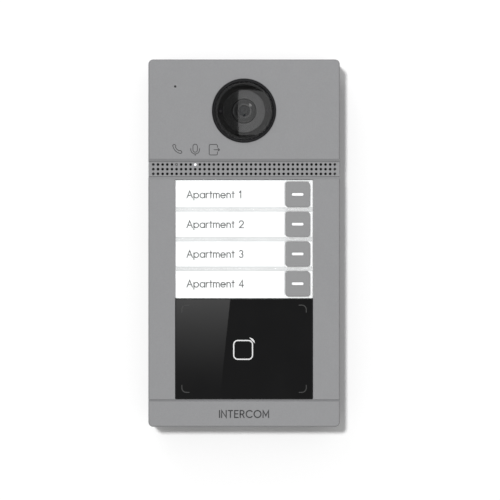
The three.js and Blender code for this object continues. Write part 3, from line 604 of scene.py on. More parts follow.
camera = bpy.data.objects.new("camera", bpy.data.cameras.new("camera"))
bpy.context.scene.collection.objects.link(camera)
face_y = -shell.front * MILLIMETRE
camera.location = (
    panel_middle.x + CAMERA_RIGHT,
    face_y - CAMERA_DISTANCE,
    panel_middle.z - CAMERA_DOWN,
)
camera.rotation_euler = (math.radians(90), 0, 0)
camera.data.sensor_width = 36
camera.data.lens = camera.data.sensor_width * CAMERA_DISTANCE / FRAME_WIDTH
camera.data.clip_start = 0.05
camera.data.clip_end = 20
bpy.context.scene.camera = camera
bpy.context.scene.view_settings.view_transform = "Standard"
print("lens", round(camera.data.lens), "mm at", CAMERA_DISTANCE, "m")

# %% World and lights
world = bpy.data.worlds.new("studio")
world.use_nodes = True
world.node_tree.nodes["Background"].inputs["Color"].default_value = (1, 1, 1, 1)
world.node_tree.nodes["Background"].inputs["Strength"].default_value = 0.35
bpy.context.scene.world = world


def lamp(name, kind, place, aim, **settings):
    made = bpy.data.objects.new(name, bpy.data.lights.new(name, kind))
    bpy.context.scene.collection.objects.link(made)
    made.location = place
    made.rotation_euler = (Vector(aim) - Vector(place)).to_track_quat("-Z", "Y").to_euler()
    for setting, value in settings.items():
        setattr(made.data, setting, value)
    return made


sun = lamp("front_sun", "SUN", (-0.155, -1.0, 0.17), (0, 0, 0), energy=2.2, angle=math.radians(5))
sun.visible_glossy = False
top_light = lamp(
    "top_light", "AREA", (-0.5, -0.7, 1.2), (0, 0, 0), energy=2.5, shape="RECTANGLE", size=0.9, size_y=0.6
)
top_light.visible_glossy = False


def stage_sheet(name, corners, y, material):
    """An upright sheet that faces the viewer. Its corners (x, z) start at the bottom left."""
    data = bpy.data.meshes.new(name)
    data.from_pydata([(x, y, z) for x, z in corners], [], [(0, 1, 2, 3)])
    made = bpy.data.objects.new(name, data)
    bpy.context.scene.collection.objects.link(made)
    data.materials.append(material)
    return made


def corners_of(left, right, bottom, top):
    return [(left, bottom), (right, bottom), (right, top), (left, top)]


def glow(name, strength):
    material = bpy.data.materials.new(name)
    material.use_nodes = True
    tree = material.node_tree
    tree.nodes.clear()
    emission = tree.nodes.new("ShaderNodeEmission")
    emission.inputs["Strength"].default_value = strength
    output = tree.nodes.new("ShaderNodeOutputMaterial")
    tree.links.new(emission.outputs["Emission"], output.inputs["Surface"])
    return material, tree, emission


def only_in_reflections(sheet):
    sheet.visible_camera = False
    sheet.visible_diffuse = False
    sheet.visible_shadow = False
    sheet.visible_transmission = False


# %% What the black parts mirror
DARK = 0.06  # brightness of the dark studio, against 1 for lit white
flag_y = camera.location.y - 0.35
dark_studio, _, _ = glow("dark_studio", DARK)
only_in_reflections(stage_sheet("dark_studio", corners_of(-2.8, 2.8, -2.4, 2.4), flag_y, dark_studio))

# The dome turns each reflection twice as far as its surface tilts, so angles place the soft light.
SOFT_LEFT, SOFT_RIGHT, SOFT_DOWN, SOFT_UP = (math.tan(math.radians(a)) for a in (-9.4, 44, -37.5, 35.5))
window_box = span("camera_window")
dome_z = window_box.y * MILLIMETRE
reach = face_y - flag_y
soft_corners = corners_of(
    SOFT_LEFT * reach, SOFT_RIGHT * reach, dome_z + SOFT_DOWN * reach, dome_z + SOFT_UP * reach
)
soft_light, _, _ = glow("soft_light", 0.80)
only_in_reflections(stage_sheet("soft_light", soft_corners, flag_y + 0.02, soft_light))

# One small bright lamp in front of the soft light gives the dome and the lens their highlight.
SPOT_RIGHT, SPOT_UP = (math.tan(math.radians(a)) for a in (9.6, 10.5))
SPOT_HALF = 0.075
spot_x, spot_z = SPOT_RIGHT * reach, dome_z + SPOT_UP * reach
spot_corners = corners_of(spot_x - SPOT_HALF, spot_x + SPOT_HALF, spot_z - SPOT_HALF, spot_z + SPOT_HALF)
bright_spot, _, _ = glow("bright_spot", 3.2)
only_in_reflections(stage_sheet("bright_spot", spot_corners, flag_y + 0.04, bright_spot))


def mirrored(x, y):
    """Where the line of sight to (x, y) on a flat front ends up at the camera's distance, in metres."""
    return 2 * x * MILLIMETRE - camera.location.x, 2 * y * MILLIMETRE - camera.location.z


card_box = span("card_window")
dark_card, _, _ = glow("dark_card", DARK)
dark_corners = [
    mirrored(card_box.left - 3, card_box.bottom - 3),
    mirrored(card_box.right + 3, card_box.bottom - 3),
    mirrored(card_box.right + 3, card_box.top + 1),
    mirrored(card_box.left - 3, card_box.top + 1),
]
only_in_reflections(stage_sheet("dark_card", dark_corners, camera.location.y - 0.01, dark_card))

EDGE_AT_TOP = -7.0  # where the mirrored card's slanted edge crosses the window, in mm
EDGE_AT_BOTTOM = -12.6
graded_corners = [
    mirrored(card_box.left - 2, card_box.bottom),
    mirrored(EDGE_AT_BOTTOM, card_box.bottom),
    mirrored(EDGE_AT_TOP, card_box.top),
    mirrored(card_box.left - 2, card_box.top),
]
graded_card, tree, emission = glow("graded_card", 1.0)
height = tree.nodes.new("ShaderNodeSeparateXYZ")
generated = tree.nodes.new("ShaderNodeTexCoord")
tree.links.new(generated.outputs["Generated"], height.inputs["Vector"])
falloff = tree.nodes.new("ShaderNodeMath")
falloff.operation = "POWER"
falloff.inputs[1].default_value = 1.85
tree.links.new(height.outputs["Z"], falloff.inputs[0])
brighter = tree.nodes.new("ShaderNodeMapRange")
brighter.inputs["To Min"].default_value = DARK
brighter.inputs["To Max"].default_value = 1.35
tree.links.new(falloff.outputs["Value"], brighter.inputs["Value"])
tree.links.new(brighter.outputs["Result"], emission.inputs["Strength"])
only_in_reflections(stage_sheet("graded_card", graded_corners, camera.location.y, graded_card))

# %% [markdown]
# The wall is a pale sheet just behind the plate. It is drawn from the front only, so that the back
# of the station can be looked at too.

# %% Wall
wall_material, tree, wall_shader = shader("wall", Roughness=0.9, Emission_Strength=0.05)
wall_shader.inputs["Emission Color"].default_value = (1, 1, 1, 1)
wall_shader.inputs["Base Color"].default_value = (0.95, 0.95, 0.95, 1)
side = tree.nodes.new("ShaderNodeNewGeometry")
nothing = tree.nodes.new("ShaderNodeBsdfTransparent")
one_sided = tree.nodes.new("ShaderNodeMixShader")
tree.links.new(side.outputs["Backfacing"], one_sided.inputs["Fac"])
tree.links.new(wall_shader.outputs["BSDF"], one_sided.inputs[1])
tree.links.new(nothing.outputs["BSDF"], one_sided.inputs[2])
tree.links.new(one_sided.outputs["Shader"], tree.nodes["Material Output"].inputs["Surface"])
WALL_GAP = 0.0006
wall = stage_sheet("wall", corners_of(-0.9, 0.9, -0.9, 0.9), WALL_GAP, wall_material)
wall.visible_diffuse = False
wall.visible_glossy = False
wall.visible_shadow = False
back_light = lamp("back_light", "AREA", (0.5, 1.0, 0.6), (0, 0, 0), energy=14, shape="SQUARE", size=0.8)
# The zinc plate would mirror this lamp as plain white, so reflections leave it out.
back_light.visible_glossy = False  # the flat plate would mirror all of it at once
print("camera and lights ready")

# %% [markdown]
# ## The front shell
#
# The shell is cast, then machined where it shows. It is drawn the same way: a rounded slab, hollowed
# from behind, with screw bosses and a ledge for the speaker strip added inside, and the openings cut
# last. Where a slope or a hole meets the face, the edge is rounded over, because paint won't hold on
# a sharp one. These small roundings catch the light and make the metal look real.

# %% Grooves that run across the face
def groove(points, face, left, right):
    """Cuts a channel along x. Its profile starts and ends on the face, and its corners round over."""
    line = filleted(points, closed=False)[1:-1]
    ring = [(line[0][0], face + PAST), *line, (line[-1][0], face + PAST)]
    return rail(ring, left, right)


def tool_bar(left, right, bottom, top, back, front, radius=0.3):
    return slab(box_outline(left, right, bottom, top, radius), back, front, edge=0)


FACE = shell.front
FACE_EDGE = 0.8
SHELL_CORNER = 2.5
GAP = 0.12  # clearance round a part that is let into another
bezel = span("camera_bezel")
grille = span("speaker_grille")
name_frame = span("nameplate_frame")
microphone = span("microphone")

# %% Front shell
RIM_WALL = 2.4
SEAT_WALL = 4.4
SEAT_DEPTH = 16.2
INSIDE_DEPTH = 24.4
shell_outline = rounded(shell.width, shell.height, SHELL_CORNER, steps=12)
front = slab(shell_outline, shell.back, FACE, FACE_EDGE, 0.3, steps=8)
inside = [
    slab(
        rounded(shell.width - 2 * wall_width, shell.height - 2 * wall_width, corner),
        shell.back - PAST,
        depth,
        0.4,
    )
    for wall_width, corner, depth in ((RIM_WALL, 1.6, SEAT_DEPTH), (SEAT_WALL, 1.2, INSIDE_DEPTH))
]
front = cut(front, *inside)

BAND_DEPTH = 1.0
BAND_SLOPE = 1.5
band_low = grille.bottom - GAP
band_high = grille.top + GAP
ledge = tool_bar(-45.9, 45.9, band_low - 1.4, band_high + 1.5, 23.0, 24.6)
SCREW_X, SCREW_Y = 42, 88
corners = [(-SCREW_X, -SCREW_Y), (SCREW_X, -SCREW_Y), (SCREW_X, SCREW_Y), (-SCREW_X, SCREW_Y)]
boss_profile = [(0, 15.1), (3.0, 15.1), (3.2, 15.3), (3.2, 24.6), (0, 24.6)]
bosses = [turned(boss_profile, x, y, 48) for x, y in corners]
POST_X = 21.5
camera_post = [(0, 16.7), (2.3, 16.7), (2.3, 24.6), (0, 24.6)]
posts = [turned(camera_post, x, bezel.y, 48) for x in (-POST_X, POST_X)]
front = joined(front, ledge, *bosses, *posts)

half = shell.width / 2 + PAST
band = [
    (band_low - BAND_SLOPE - 2, FACE),
    (band_low - BAND_SLOPE, FACE, 0.5),
    (band_low, FACE - BAND_DEPTH),
    (band_high, FACE - BAND_DEPTH),
    (band_high + BAND_SLOPE, FACE, 0.5),
    (band_high + BAND_SLOPE + 2, FACE),
]
GROOVE_DEPTH = 0.7
OPENING_BOTTOM = -81.6
seam = [
    (OPENING_BOTTOM - 2.2, FACE),
    (OPENING_BOTTOM - 1.2, FACE, 0.2),
    (OPENING_BOTTOM - 0.6, FACE - GROOVE_DEPTH, 0.12),
    (OPENING_BOTTOM, FACE, 0.2),
    (OPENING_BOTTOM + 1, FACE),
]
OPENING_HALF = 36
sound_slot = (grille.y - 3.35, grille.y + 3.35)  # bottom and top of the slot behind the strip
OPENING_TOP = band_low - BAND_SLOPE
module_opening = rounded(
    2 * OPENING_HALF, OPENING_TOP - OPENING_BOTTOM, 0.5, 0, (OPENING_TOP + OPENING_BOTTOM) / 2
)
front = cut(
    front,
    groove(band, FACE, -half, half),
    groove(seam, FACE, -half, half),
    tool_bar(-half, half, band_low, band_high, 24.5, FACE + PAST, 0.1),
    tool_bar(-45, 45, *sound_slot, 22, 25),
    *[tool_bar(x - 2.2, x + 2.2, *sound_slot, 21, 25) for x in (-46.4, 46.4)],
)
front = cut(
    front,
    opening(module_opening, 22, FACE, 0.25),
    opening(circle(16.75, bezel.x, bezel.y, 96), 22, FACE, 0.2),
    opening(circle(0.6, microphone.x, microphone.y, 24), 22, FACE, 0.1),
    *[turned([(0, 14), (1.75, 14), (1.75, 20.5), (0, 20.5)], x, y, 32) for x, y in corners],
)
piece("front_panel_shell", front, PANEL_PAINT, ["front_panel"])
print("front shell done")

# %% [markdown]
# The speaker strip is a separate pressed strip, let into the sunk band. Its holes are punched: a
# punch leaves a slightly rounded rim on the side that it enters. Behind the top row, three light
# pipes reach into holes under the printed symbols.

# %% Speaker strip and light pipes
HOLE_RADIUS = 0.68
HOLE_PITCH = 2.433
COLUMNS = 40
ROWS = 3
strip_outline = rounded(grille.width, grille.height, 0.3, 0, grille.y)
strip = slab(strip_outline, grille.back, grille.front, 0.15, 0.05)
holes = []
for column in range(COLUMNS):
    for row in range(ROWS):
        x = (column - (COLUMNS - 1) / 2) * HOLE_PITCH
        y = grille.y + (row - 1) * HOLE_PITCH
        holes.append(opening(circle(HOLE_RADIUS, x, y, 28), grille.back - PAST, grille.front, 0.12))
strip = cut(strip, together(holes))
piece("speaker_strip", strip, PANEL_PAINT, ["speaker_grille"])


def light_pipe(name, shade, light):
    box = span(name)
    tip = [(0.4, box.front - 2.9), (0.4, box.front - 0.12), (0.3, box.front), (0, box.front)]
    profile = [(0, box.back), (1.0, box.back), (1.0, box.front - 3.5), *tip]
    material, tree, principled = shader(name, IOR=1.49, Emission_Strength=light)
    principled.inputs["Emission Color"].default_value = (1, 1, 1, 1)
    tree.links.new(ramp(tree, noise(tree, 900, 2), 0.8 * shade, shade), principled.inputs["Base Color"])
    tree.links.new(ramp(tree, noise(tree, 700, 2), 0.2, 0.35), principled.inputs["Roughness"])
    piece(name + "_pipe", turned(profile, box.x, box.y, 32), material, [name])


light_pipe("call_light_guide", 0.30, 0.0)
light_pipe("talk_light_guide", 0.70, 1.0)
light_pipe("unlock_light_guide", 0.03, 0.0)
print("strip and light pipes done")

# %% [markdown]
# ## The camera
#
# A turned black ring holds a smoked dome. The dome is part of a sphere, and its inside is a sphere
# with the same centre, so it bends the picture as little as possible. Behind it stand a lens barrel
# in a holder and the lens itself. The holder's face is slightly domed too, so it mirrors the same
# soft light as the window in front of it.

# %% Camera ring and window
CAMERA_X, CAMERA_Y = bezel.x, bezel.y
WINDOW_RADIUS = 15.0
DOME_RADIUS = 39.0
SKIN = 1.4
dome_centre = window_box.front - DOME_RADIUS


def sphere_arc(radius, centre, start, end, steps=24):
    """Profile points on a sphere, between two distances from the axis."""
    low, high = math.asin(start / radius), math.asin(end / radius)
    angles = [low + (high - low) * i / steps for i in range(steps + 1)]
    return [(radius * math.sin(a), centre + radius * math.cos(a)) for a in angles]


ring_profile = filleted(
    [
        (14.0, bezel.back, 0.1),
        (bezel.width / 2, bezel.back, 0.15),
        (bezel.width / 2, bezel.back + 0.8, 0.15),
        (16.6, bezel.back + 0.8, 0.1),
        (16.6, bezel.front, 0.45),
        (15.2, bezel.front, 0.55),
        (15.2, 24.5, 0.1),
        (14.0, 24.5, 0.1),
    ],
    steps=8,
)
ring = turned(ring_profile, CAMERA_X, CAMERA_Y, 160)
piece("camera_ring", ring, BEZEL_BLACK, ["camera_bezel"])

outside = sphere_arc(DOME_RADIUS, dome_centre, 0, WINDOW_RADIUS - 0.1)
rim_top = outside[-1][1]
inside_dome = sphere_arc(DOME_RADIUS - SKIN, dome_centre, WINDOW_RADIUS - SKIN, 0)
lower = [
    (WINDOW_RADIUS, rim_top - 0.12),
    (WINDOW_RADIUS, window_box.back),
    (WINDOW_RADIUS - SKIN, window_box.back),
]
crown, inner_crown = (0, outside[0][1]), (0, inside_dome[-1][1])
dome_profile = [crown, *outside[1:], *lower, *inside_dome[:-1], inner_crown]
dome = turned(dome_profile, CAMERA_X, CAMERA_Y, 160)
piece("camera_dome", dome, SMOKED_WINDOW, ["camera_window"])

# %% Lens
holder_box = span("lens_holder")
barrel_box = span("lens_barrel")
glass_box = span("lens_glass")


def domed_face(inner, outer, crown, radius):
    """A ring-shaped face that follows a sphere whose highest point on the axis is at crown."""
    return sphere_arc(radius, crown - radius, inner, outer, 8)


HOLDER_CROWN = holder_box.front + 0.5
holder_profile = [
    (6.6, holder_box.back),
    (8.0, holder_box.back),
    (8.0, 20.3),
    (10.6, 20.6),
    *reversed(domed_face(6.6, holder_box.width / 2, HOLDER_CROWN, DOME_RADIUS)),
]
holder = turned(holder_profile, CAMERA_X, CAMERA_Y, 128)
piece("lens_holder_ring", holder, LENS_BLACK, ["lens_holder"])
barrel_profile = [
    (3.2, barrel_box.back),
    (6.2, barrel_box.back),
    (6.2, barrel_box.front - 0.5),
    (6.0, barrel_box.front - 0.15),
    (5.7, barrel_box.front),
    (5.4, barrel_box.front - 0.05),
    (4.6, barrel_box.front - 0.55),
    (4.4, barrel_box.front - 0.5),
    (4.15, barrel_box.front - 0.8),
    (4.1, 22.6),
    (3.2, 22.6),
]
barrel = turned(filleted([(r, z, 0.05) for r, z in barrel_profile], steps=3), CAMERA_X, CAMERA_Y, 128)
piece("lens_barrel_body", barrel, BARREL_BLACK, ["lens_barrel"])
glass_profile = [
    (0, 22.1),
    (2.6, 22.3),
    (2.9, 22.8),
    (3.9, 22.8),
    (3.9, 23.4),
    *[(3.9 * math.cos(a), 23.4 + 1.4 * math.sin(a)) for a in (0.3, 0.6, 0.9, 1.2, 1.4)],
    (0, glass_box.front),
]
lens = turned(glass_profile, CAMERA_X, CAMERA_Y, 128)
piece("lens_front_glass", lens, LENS_GLASS, ["lens_glass"])
retainer = turned(
    filleted([(3.05, 24.32, 0.05), (4.0, 23.9, 0.05), (4.0, 24.45, 0.12), (3.2, 24.55, 0.08)], steps=4),
    CAMERA_X,
    CAMERA_Y,
    96,
)
piece("lens_retaining_ring", retainer, LENS_BLACK)
print("camera done")

# %% [markdown]
# ## The name rows
#
# A white frame, lit from behind, carries four printed cards. A clear cover clips over each one and
# leaves a square hole for the key. The key is a grey cap with a slot, and a white bar that conducts
# light stands in the slot. A white skirt round the cap glows with the frame's light, a painted glow
# that makes the gap round the key look lit. Pale grey strips between the rows are painted shade, where
# the edges of the covers meet.

# %% White frame, cards and covers
FLANGE = 1.65
frame_main = box_outline(
    name_frame.left + FLANGE, name_frame.right - FLANGE, name_frame.bottom, name_frame.top, 0.5
)
covers = [span(f"name_cover_{n}") for n in (1, 2, 3, 4)]
KEY_X = span("call_button_1").x
FRAME_FRONT = name_frame.front
KEY_HOLE = rounded(13.7, 14.0, 1.6, 0, 0)


def moved(outline, x, y):
    return lambda inset=0.0: [(x + px, y + py) for px, py in outline(inset)]


FRAME_BACK = 23.0
white_frame = slab(frame_main, FRAME_BACK, FRAME_FRONT, 0.2)
flange = slab(
    box_outline(name_frame.left, name_frame.right, name_frame.bottom, name_frame.top, 0.5),
    FRAME_BACK,
    24.2,
    0.15,
)
post_foot = name_frame.back
post_profile = [(0, post_foot), (1.6, post_foot), (1.8, post_foot + 0.2), (1.8, 24), (0, 24)]
frame_posts = [
    turned(post_profile, x, y, 32)
    for x in (-32, 14)
    for y in (-23, 27)
]
white_frame = joined(white_frame, flange, *frame_posts)
CARD_LEFT, CARD_RIGHT, CARD_HALF = -34, 19, 6.0
CARD_SEAT = FRAME_FRONT - 0.45
frame_cuts = [opening(moved(KEY_HOLE, KEY_X, c.y), FRAME_BACK - PAST, FRAME_FRONT, 0.15) for c in covers]
frame_cuts += [
    tool_bar(CARD_LEFT, CARD_RIGHT, c.y - CARD_HALF, c.y + CARD_HALF, CARD_SEAT, FRAME_FRONT + PAST)
    for c in covers
]
white_frame = cut(white_frame, *frame_cuts)
piece("white_name_frame", white_frame, WHITE_FRAME, ["nameplate_frame"])

# Painted shade: a pale grey strip between each pair of rows stands for the shade where the covers' edges
# meet.
SHADE_STRIP_HEIGHT = 2.6
SHADE_STRIP_GREY = grained("painted_shade_grey", (0.70, 0.70, 0.70), (0.75, 0.75, 0.75), (0.5, 0.6), 2600, 0.002)
for n, (upper, lower_cover) in enumerate(zip(covers, covers[1:]), 1):
    middle = (upper.bottom + lower_cover.top) / 2
    line = rounded(upper.width, SHADE_STRIP_HEIGHT, 0.2, 0, middle)
    shade_strip = slab(line, FRAME_FRONT - 0.02, FRAME_FRONT + 0.03, edge=0)
    key_holes = [moved(KEY_HOLE, KEY_X, c.y) for c in covers]
    key_tools = [slab(hole, FRAME_FRONT - PAST, FRAME_FRONT + PAST, edge=0) for hole in key_holes]
    shade_strip = cut(shade_strip, together(key_tools))
    piece(f"painted_row_shade_{n}", shade_strip, SHADE_STRIP_GREY, flat=True)

COVER_HOLE = rounded(13.5, 13.8, 1.7)
for n, cover in enumerate(covers, 1):
    cover_outline = rounded(cover.width, cover.height, 0.5, cover.x, cover.y)
    sheet = slab(cover_outline, cover.back, cover.front, 0.3, 0.1)
    sheet = cut(sheet, opening(moved(COVER_HOLE, KEY_X, cover.y), cover.back - PAST, cover.front, 0.2))
    piece(f"clear_cover_{n}", sheet, CLEAR_COVER, [f"name_cover_{n}"])
    card = span(f"name_card_{n}")
    card_outline = box_outline(card.left, card.right, card.bottom, card.top, 0.4)
    paper = slab(card_outline, card.back, card.front, 0.04)
    piece(f"paper_card_{n}", paper, PAPER, [f"name_card_{n}"])

# %% Call keys
CAP_WIDTH, CAP_HEIGHT = 12.8, 13.1
SLOT_WIDTH, SLOT_HEIGHT = 6.5, 1.8
SKIRT_FRONT = 22.75
for n, cover in enumerate(covers, 1):
    key = span(f"call_button_{n}")
    cap_outline = rounded(CAP_WIDTH, CAP_HEIGHT, 1.4, key.x, key.y, 10)
    cap = slab(cap_outline, SKIRT_FRONT, key.front, 0.35, 0.0, 6)
    skirt = slab(rounded(key.width, key.height, 1.2, key.x, key.y), key.back, SKIRT_FRONT, 0.15, 0.1)
    slot_outline = rounded(SLOT_WIDTH, SLOT_HEIGHT, SLOT_HEIGHT / 2 - 0.05, key.x, key.y, 10)
    cap = cut(cap, opening(slot_outline, SKIRT_FRONT - PAST, key.front, 0.12))
    skirt = cut(skirt, slab(slot_outline, key.back - PAST, SKIRT_FRONT + PAST, edge=0))
    # The skirt wears the glowing white of the frame: a painted glow, so that the gap round the cap looks
    # lit.
    piece(f"call_key_skirt_{n}", skirt, WHITE_FRAME, body=f"call_key_{n}")
    piece(f"call_key_cap_{n}", cap, KEY_PAINT, [f"call_button_{n}"], body=f"call_key_{n}")
    bar_box = span(f"button_light_bar_{n}")
    bar_end = bar_box.height / 2 - 0.05
    bar_outline = rounded(bar_box.width, bar_box.height, bar_end, key.x, key.y, 10)
    bar = slab(bar_outline, bar_box.back, bar_box.front, 0.15, 0.1)
    piece(f"call_key_bar_{n}", bar, LIGHT_BAR, [f"button_light_bar_{n}"], body=f"call_key_{n}")
print("name rows done")

# %% [markdown]
# ## The card window
#
# The window is a moulded plate of black gloss acrylic. Polished acrylic mirrors a little light very
# sharply and shows nothing of itself, so almost all of its look comes from what stands in front.

# %% Card window
CARD_BACK, FLANGE_FRONT = 23.0, 24.2
plate_left, plate_right = card_box.left + FLANGE, card_box.right - FLANGE
plate_outline = box_outline(plate_left, plate_right, OPENING_BOTTOM + 0.25, card_box.top, 0.5, 6)
card_front = slab(plate_outline, CARD_BACK, card_box.front, 0.22)
flange_outline = box_outline(card_box.left, card_box.right, card_box.bottom, card_box.top, 0.5)
card_flange = slab(flange_outline, CARD_BACK, FLANGE_FRONT, 0.15)
card_plate = joined(card_front, card_flange)
card_plate = cut(card_plate, tool_bar(-33.5, 33.5, -79, -31.5, 22, 24.6))
piece("card_window_plate", card_plate, BLACK_GLOSS, ["card_window"])

# %% [markdown]
# ## Printing
#
# Symbols and lettering are screen-printed: a thin, even film of ink with slightly rounded ends, a few
# hundredths of a millimetre thick. Each stroke is drawn as a ribbon along a line, and the strokes of
# a symbol are joined into one film.

# %% Ink ribbons
INK_DEPTH = 0.03
INK_FOOT = 0.02


def sideways(points, distance, closed):
    """The line moved sideways, with mitred corners."""
    made = []
    count = len(points)
    for i in range(count):
        here = Vector(points[i])
        ways = []
        if closed or i > 0:
            ways.append((here - Vector(points[i - 1])).normalized())
        if closed or i < count - 1:
            ways.append((Vector(points[(i + 1) % count]) - here).normalized())
        along = sum(ways, Vector((0, 0))).normalized()
        side = Vector((-along.y, along.x))
        mitre = max(side.dot(Vector((-ways[0].y, ways[0].x))), 0.4)
        made.append(here + side * (distance / mitre))
    return made


def cap_points(centre, start, steps=5):
    """Half a circle round the end of a stroke, from the point start, turning clockwise."""
    radius = Vector(start) - Vector(centre)
    turns = [Matrix.Rotation(-math.pi * i / steps, 2) for i in range(1, steps)]
    return [Vector(centre) + turn @ radius for turn in turns]


def ribbon(points, width, back, front, closed=False):
    left = sideways(points, width / 2, closed)
    right = sideways(points, -width / 2, closed)
    if not closed:
        far_end = cap_points(points[-1], left[-1])
        near_end = cap_points(points[0], right[0])
        outline = [*left, *far_end, *reversed(right), *near_end]
        mesh = loft([[(x, y, z) for x, y in outline] for z in (back, front)])
    else:
        rings = [(left, back), (left, front), (right, front), (right, back)]
        mesh = bmesh.new()
        loops = [[mesh.verts.new((x, y, z)) for x, y in ring] for ring, z in rings]
        for lower_loop, upper_loop in zip(loops, loops[1:] + loops[:1]):
            for i in range(len(points)):
                j = (i + 1) % len(points)
                mesh.faces.new((lower_loop[i], lower_loop[j], upper_loop[j], upper_loop[i]))
    bmesh.ops.recalc_face_normals(mesh, faces=mesh.faces)
    return mesh


def print_lines(name, lines, width, face, finish):
    """Prints (points, closed) lines on a face as one film of ink."""
    films = [ribbon(points, width, face - INK_FOOT, face + INK_DEPTH, closed) for points, closed in lines]
    film = solid(films[0])
    if len(films) > 1:
        film = joined(film, *films[1:])
    return piece(name, film, finish, flat=True)


# %% Symbols over the speaker strip
GUIDE_XS = [span(n).x for n in ("call_light_guide", "talk_light_guide", "unlock_light_guide")]
SYMBOL_Y = 48.8
SYMBOL_LINE = 0.36


def handset(x, y):
    """A telephone handset, seen from the side and tilted: a curved back with a pad at each end."""
    back = arc(0, 4.2, 5.0, 233, 307, 10)
    right = [(3.0, 0.9), (2.5, 1.3), (1.6, 1.1), (1.3, 0.5)]
    left = [(-px, py) for px, py in reversed(right)]
    points = [*back, *right, (0, 0.25), *left]
    tilt = Matrix.Rotation(math.radians(-45), 2)
    return [([tuple(tilt @ Vector(point) + Vector((x, y))) for point in points], True)]


def microphone_symbol(x, y):
    capsule = rounded(2.3, 4.2, 1.14, x, y + 0.8, 6)()
    cradle = [(x - 2.3, y + 0.6), *arc(x, y + 0.1, 2.3, 180, 360, 14), (x + 2.3, y + 0.6)]
    return [(capsule, True), (cradle, False), ([(x, y - 2.2), (x, y - 3.1)], False)]


def door_symbol(x, y):
    left, right, tall, bend = x - 2.4, x + 1.9, 2.75, 0.7
    frame_line = [
        (right, y + 1.2),
        *arc(right - bend, y + tall - bend, bend, 0, 90, 4),
        *arc(left + bend, y + tall - bend, bend, 90, 180, 4),
        *arc(left + bend, y - tall + bend, bend, 180, 270, 4),
        *arc(right - bend, y - tall + bend, bend, 270, 360, 4),
        (right, y - 1.2),
    ]
    head = [(x + 2.2, y + 0.7), (x + 3.0, y), (x + 2.2, y - 0.7)]
    arrow = [([(x + 0.1, y), (x + 3.0, y)], False), (head, False)]
    return [(frame_line, False), *arrow]


symbols = {"call_symbol": handset, "talk_symbol": microphone_symbol, "unlock_symbol": door_symbol}
for (name, draw), x in zip(symbols.items(), GUIDE_XS):
    print_lines(name, draw(x, SYMBOL_Y), SYMBOL_LINE, FACE, INK)

# %% Marks on the card window
BRACKET_X, BRACKET_TOP, BRACKET_BOTTOM = 32.5, -32.4, -78.0
BRACKET_LEG, BRACKET_ARC, BRACKET_LINE = 3.7, 2.3, 0.5


def bracket(x, y, turn):
    """A quarter frame with its rounded corner at the top left, turned in steps of 90 degrees."""
    corner = arc(BRACKET_ARC, -BRACKET_ARC, BRACKET_ARC, 180, 90, 8)
    points = [(0, -BRACKET_LEG), *corner, (BRACKET_LEG, 0)]
    spin = Matrix.Rotation(math.radians(turn), 2)
    return ([tuple(spin @ Vector(p) + Vector((x, y))) for p in points], False)


brackets = [
    bracket(-BRACKET_X, BRACKET_TOP, 0),
    bracket(BRACKET_X, BRACKET_TOP, -90),
    bracket(BRACKET_X, BRACKET_BOTTOM, 180),
    bracket(-BRACKET_X, BRACKET_BOTTOM, 90),
]
GREY_INK = grained("grey_ink", (0.038, 0.038, 0.038), (0.052, 0.052, 0.052), (0.5, 0.6), 6000, 0.002)
WHITE_INK = grained("white_ink", (0.78, 0.78, 0.78), (0.85, 0.85, 0.85), (0.45, 0.55), 6000, 0.002)
for n, line in enumerate(brackets, 1):
    print_lines(f"card_bracket_{n}", [line], BRACKET_LINE, card_box.front, GREY_INK)
MARK_LINE = 0.6
card_mark = rounded(9.8, 9.8, 2.1, -0.5, -55.8, 8)()
print_lines("card_mark", [(card_mark, True)], MARK_LINE, card_box.front, WHITE_INK)
crescent_line = arc(2.7, -52.3, 2.9, 0, 90, 12)
crescent = loft([[(x, y, card_box.front + z) for x, y in crescent_line] for z in (-INK_FOOT, INK_DEPTH)])
piece("card_mark_crescent", crescent, WHITE_INK, flat=True)
print("symbols done")

# %% [markdown]
# Lettering on such a panel is thin and geometric: straight strokes and parts of circles, all of one
# width. That makes it easy to draw as lines. Each letter below is a list of strokes on a grid whose
# unit is the height of a capital.

# %% A stroke alphabet
X_HEIGHT = 0.68
BOWL = 0.34


def stem(x, low, high):
    return [(x, low), (x, high)]


def arch(x, width):
    radius = width / 2
    return [*arc(x + radius, X_HEIGHT - radius, radius, 180, 0, 10), (x + width, 0)]


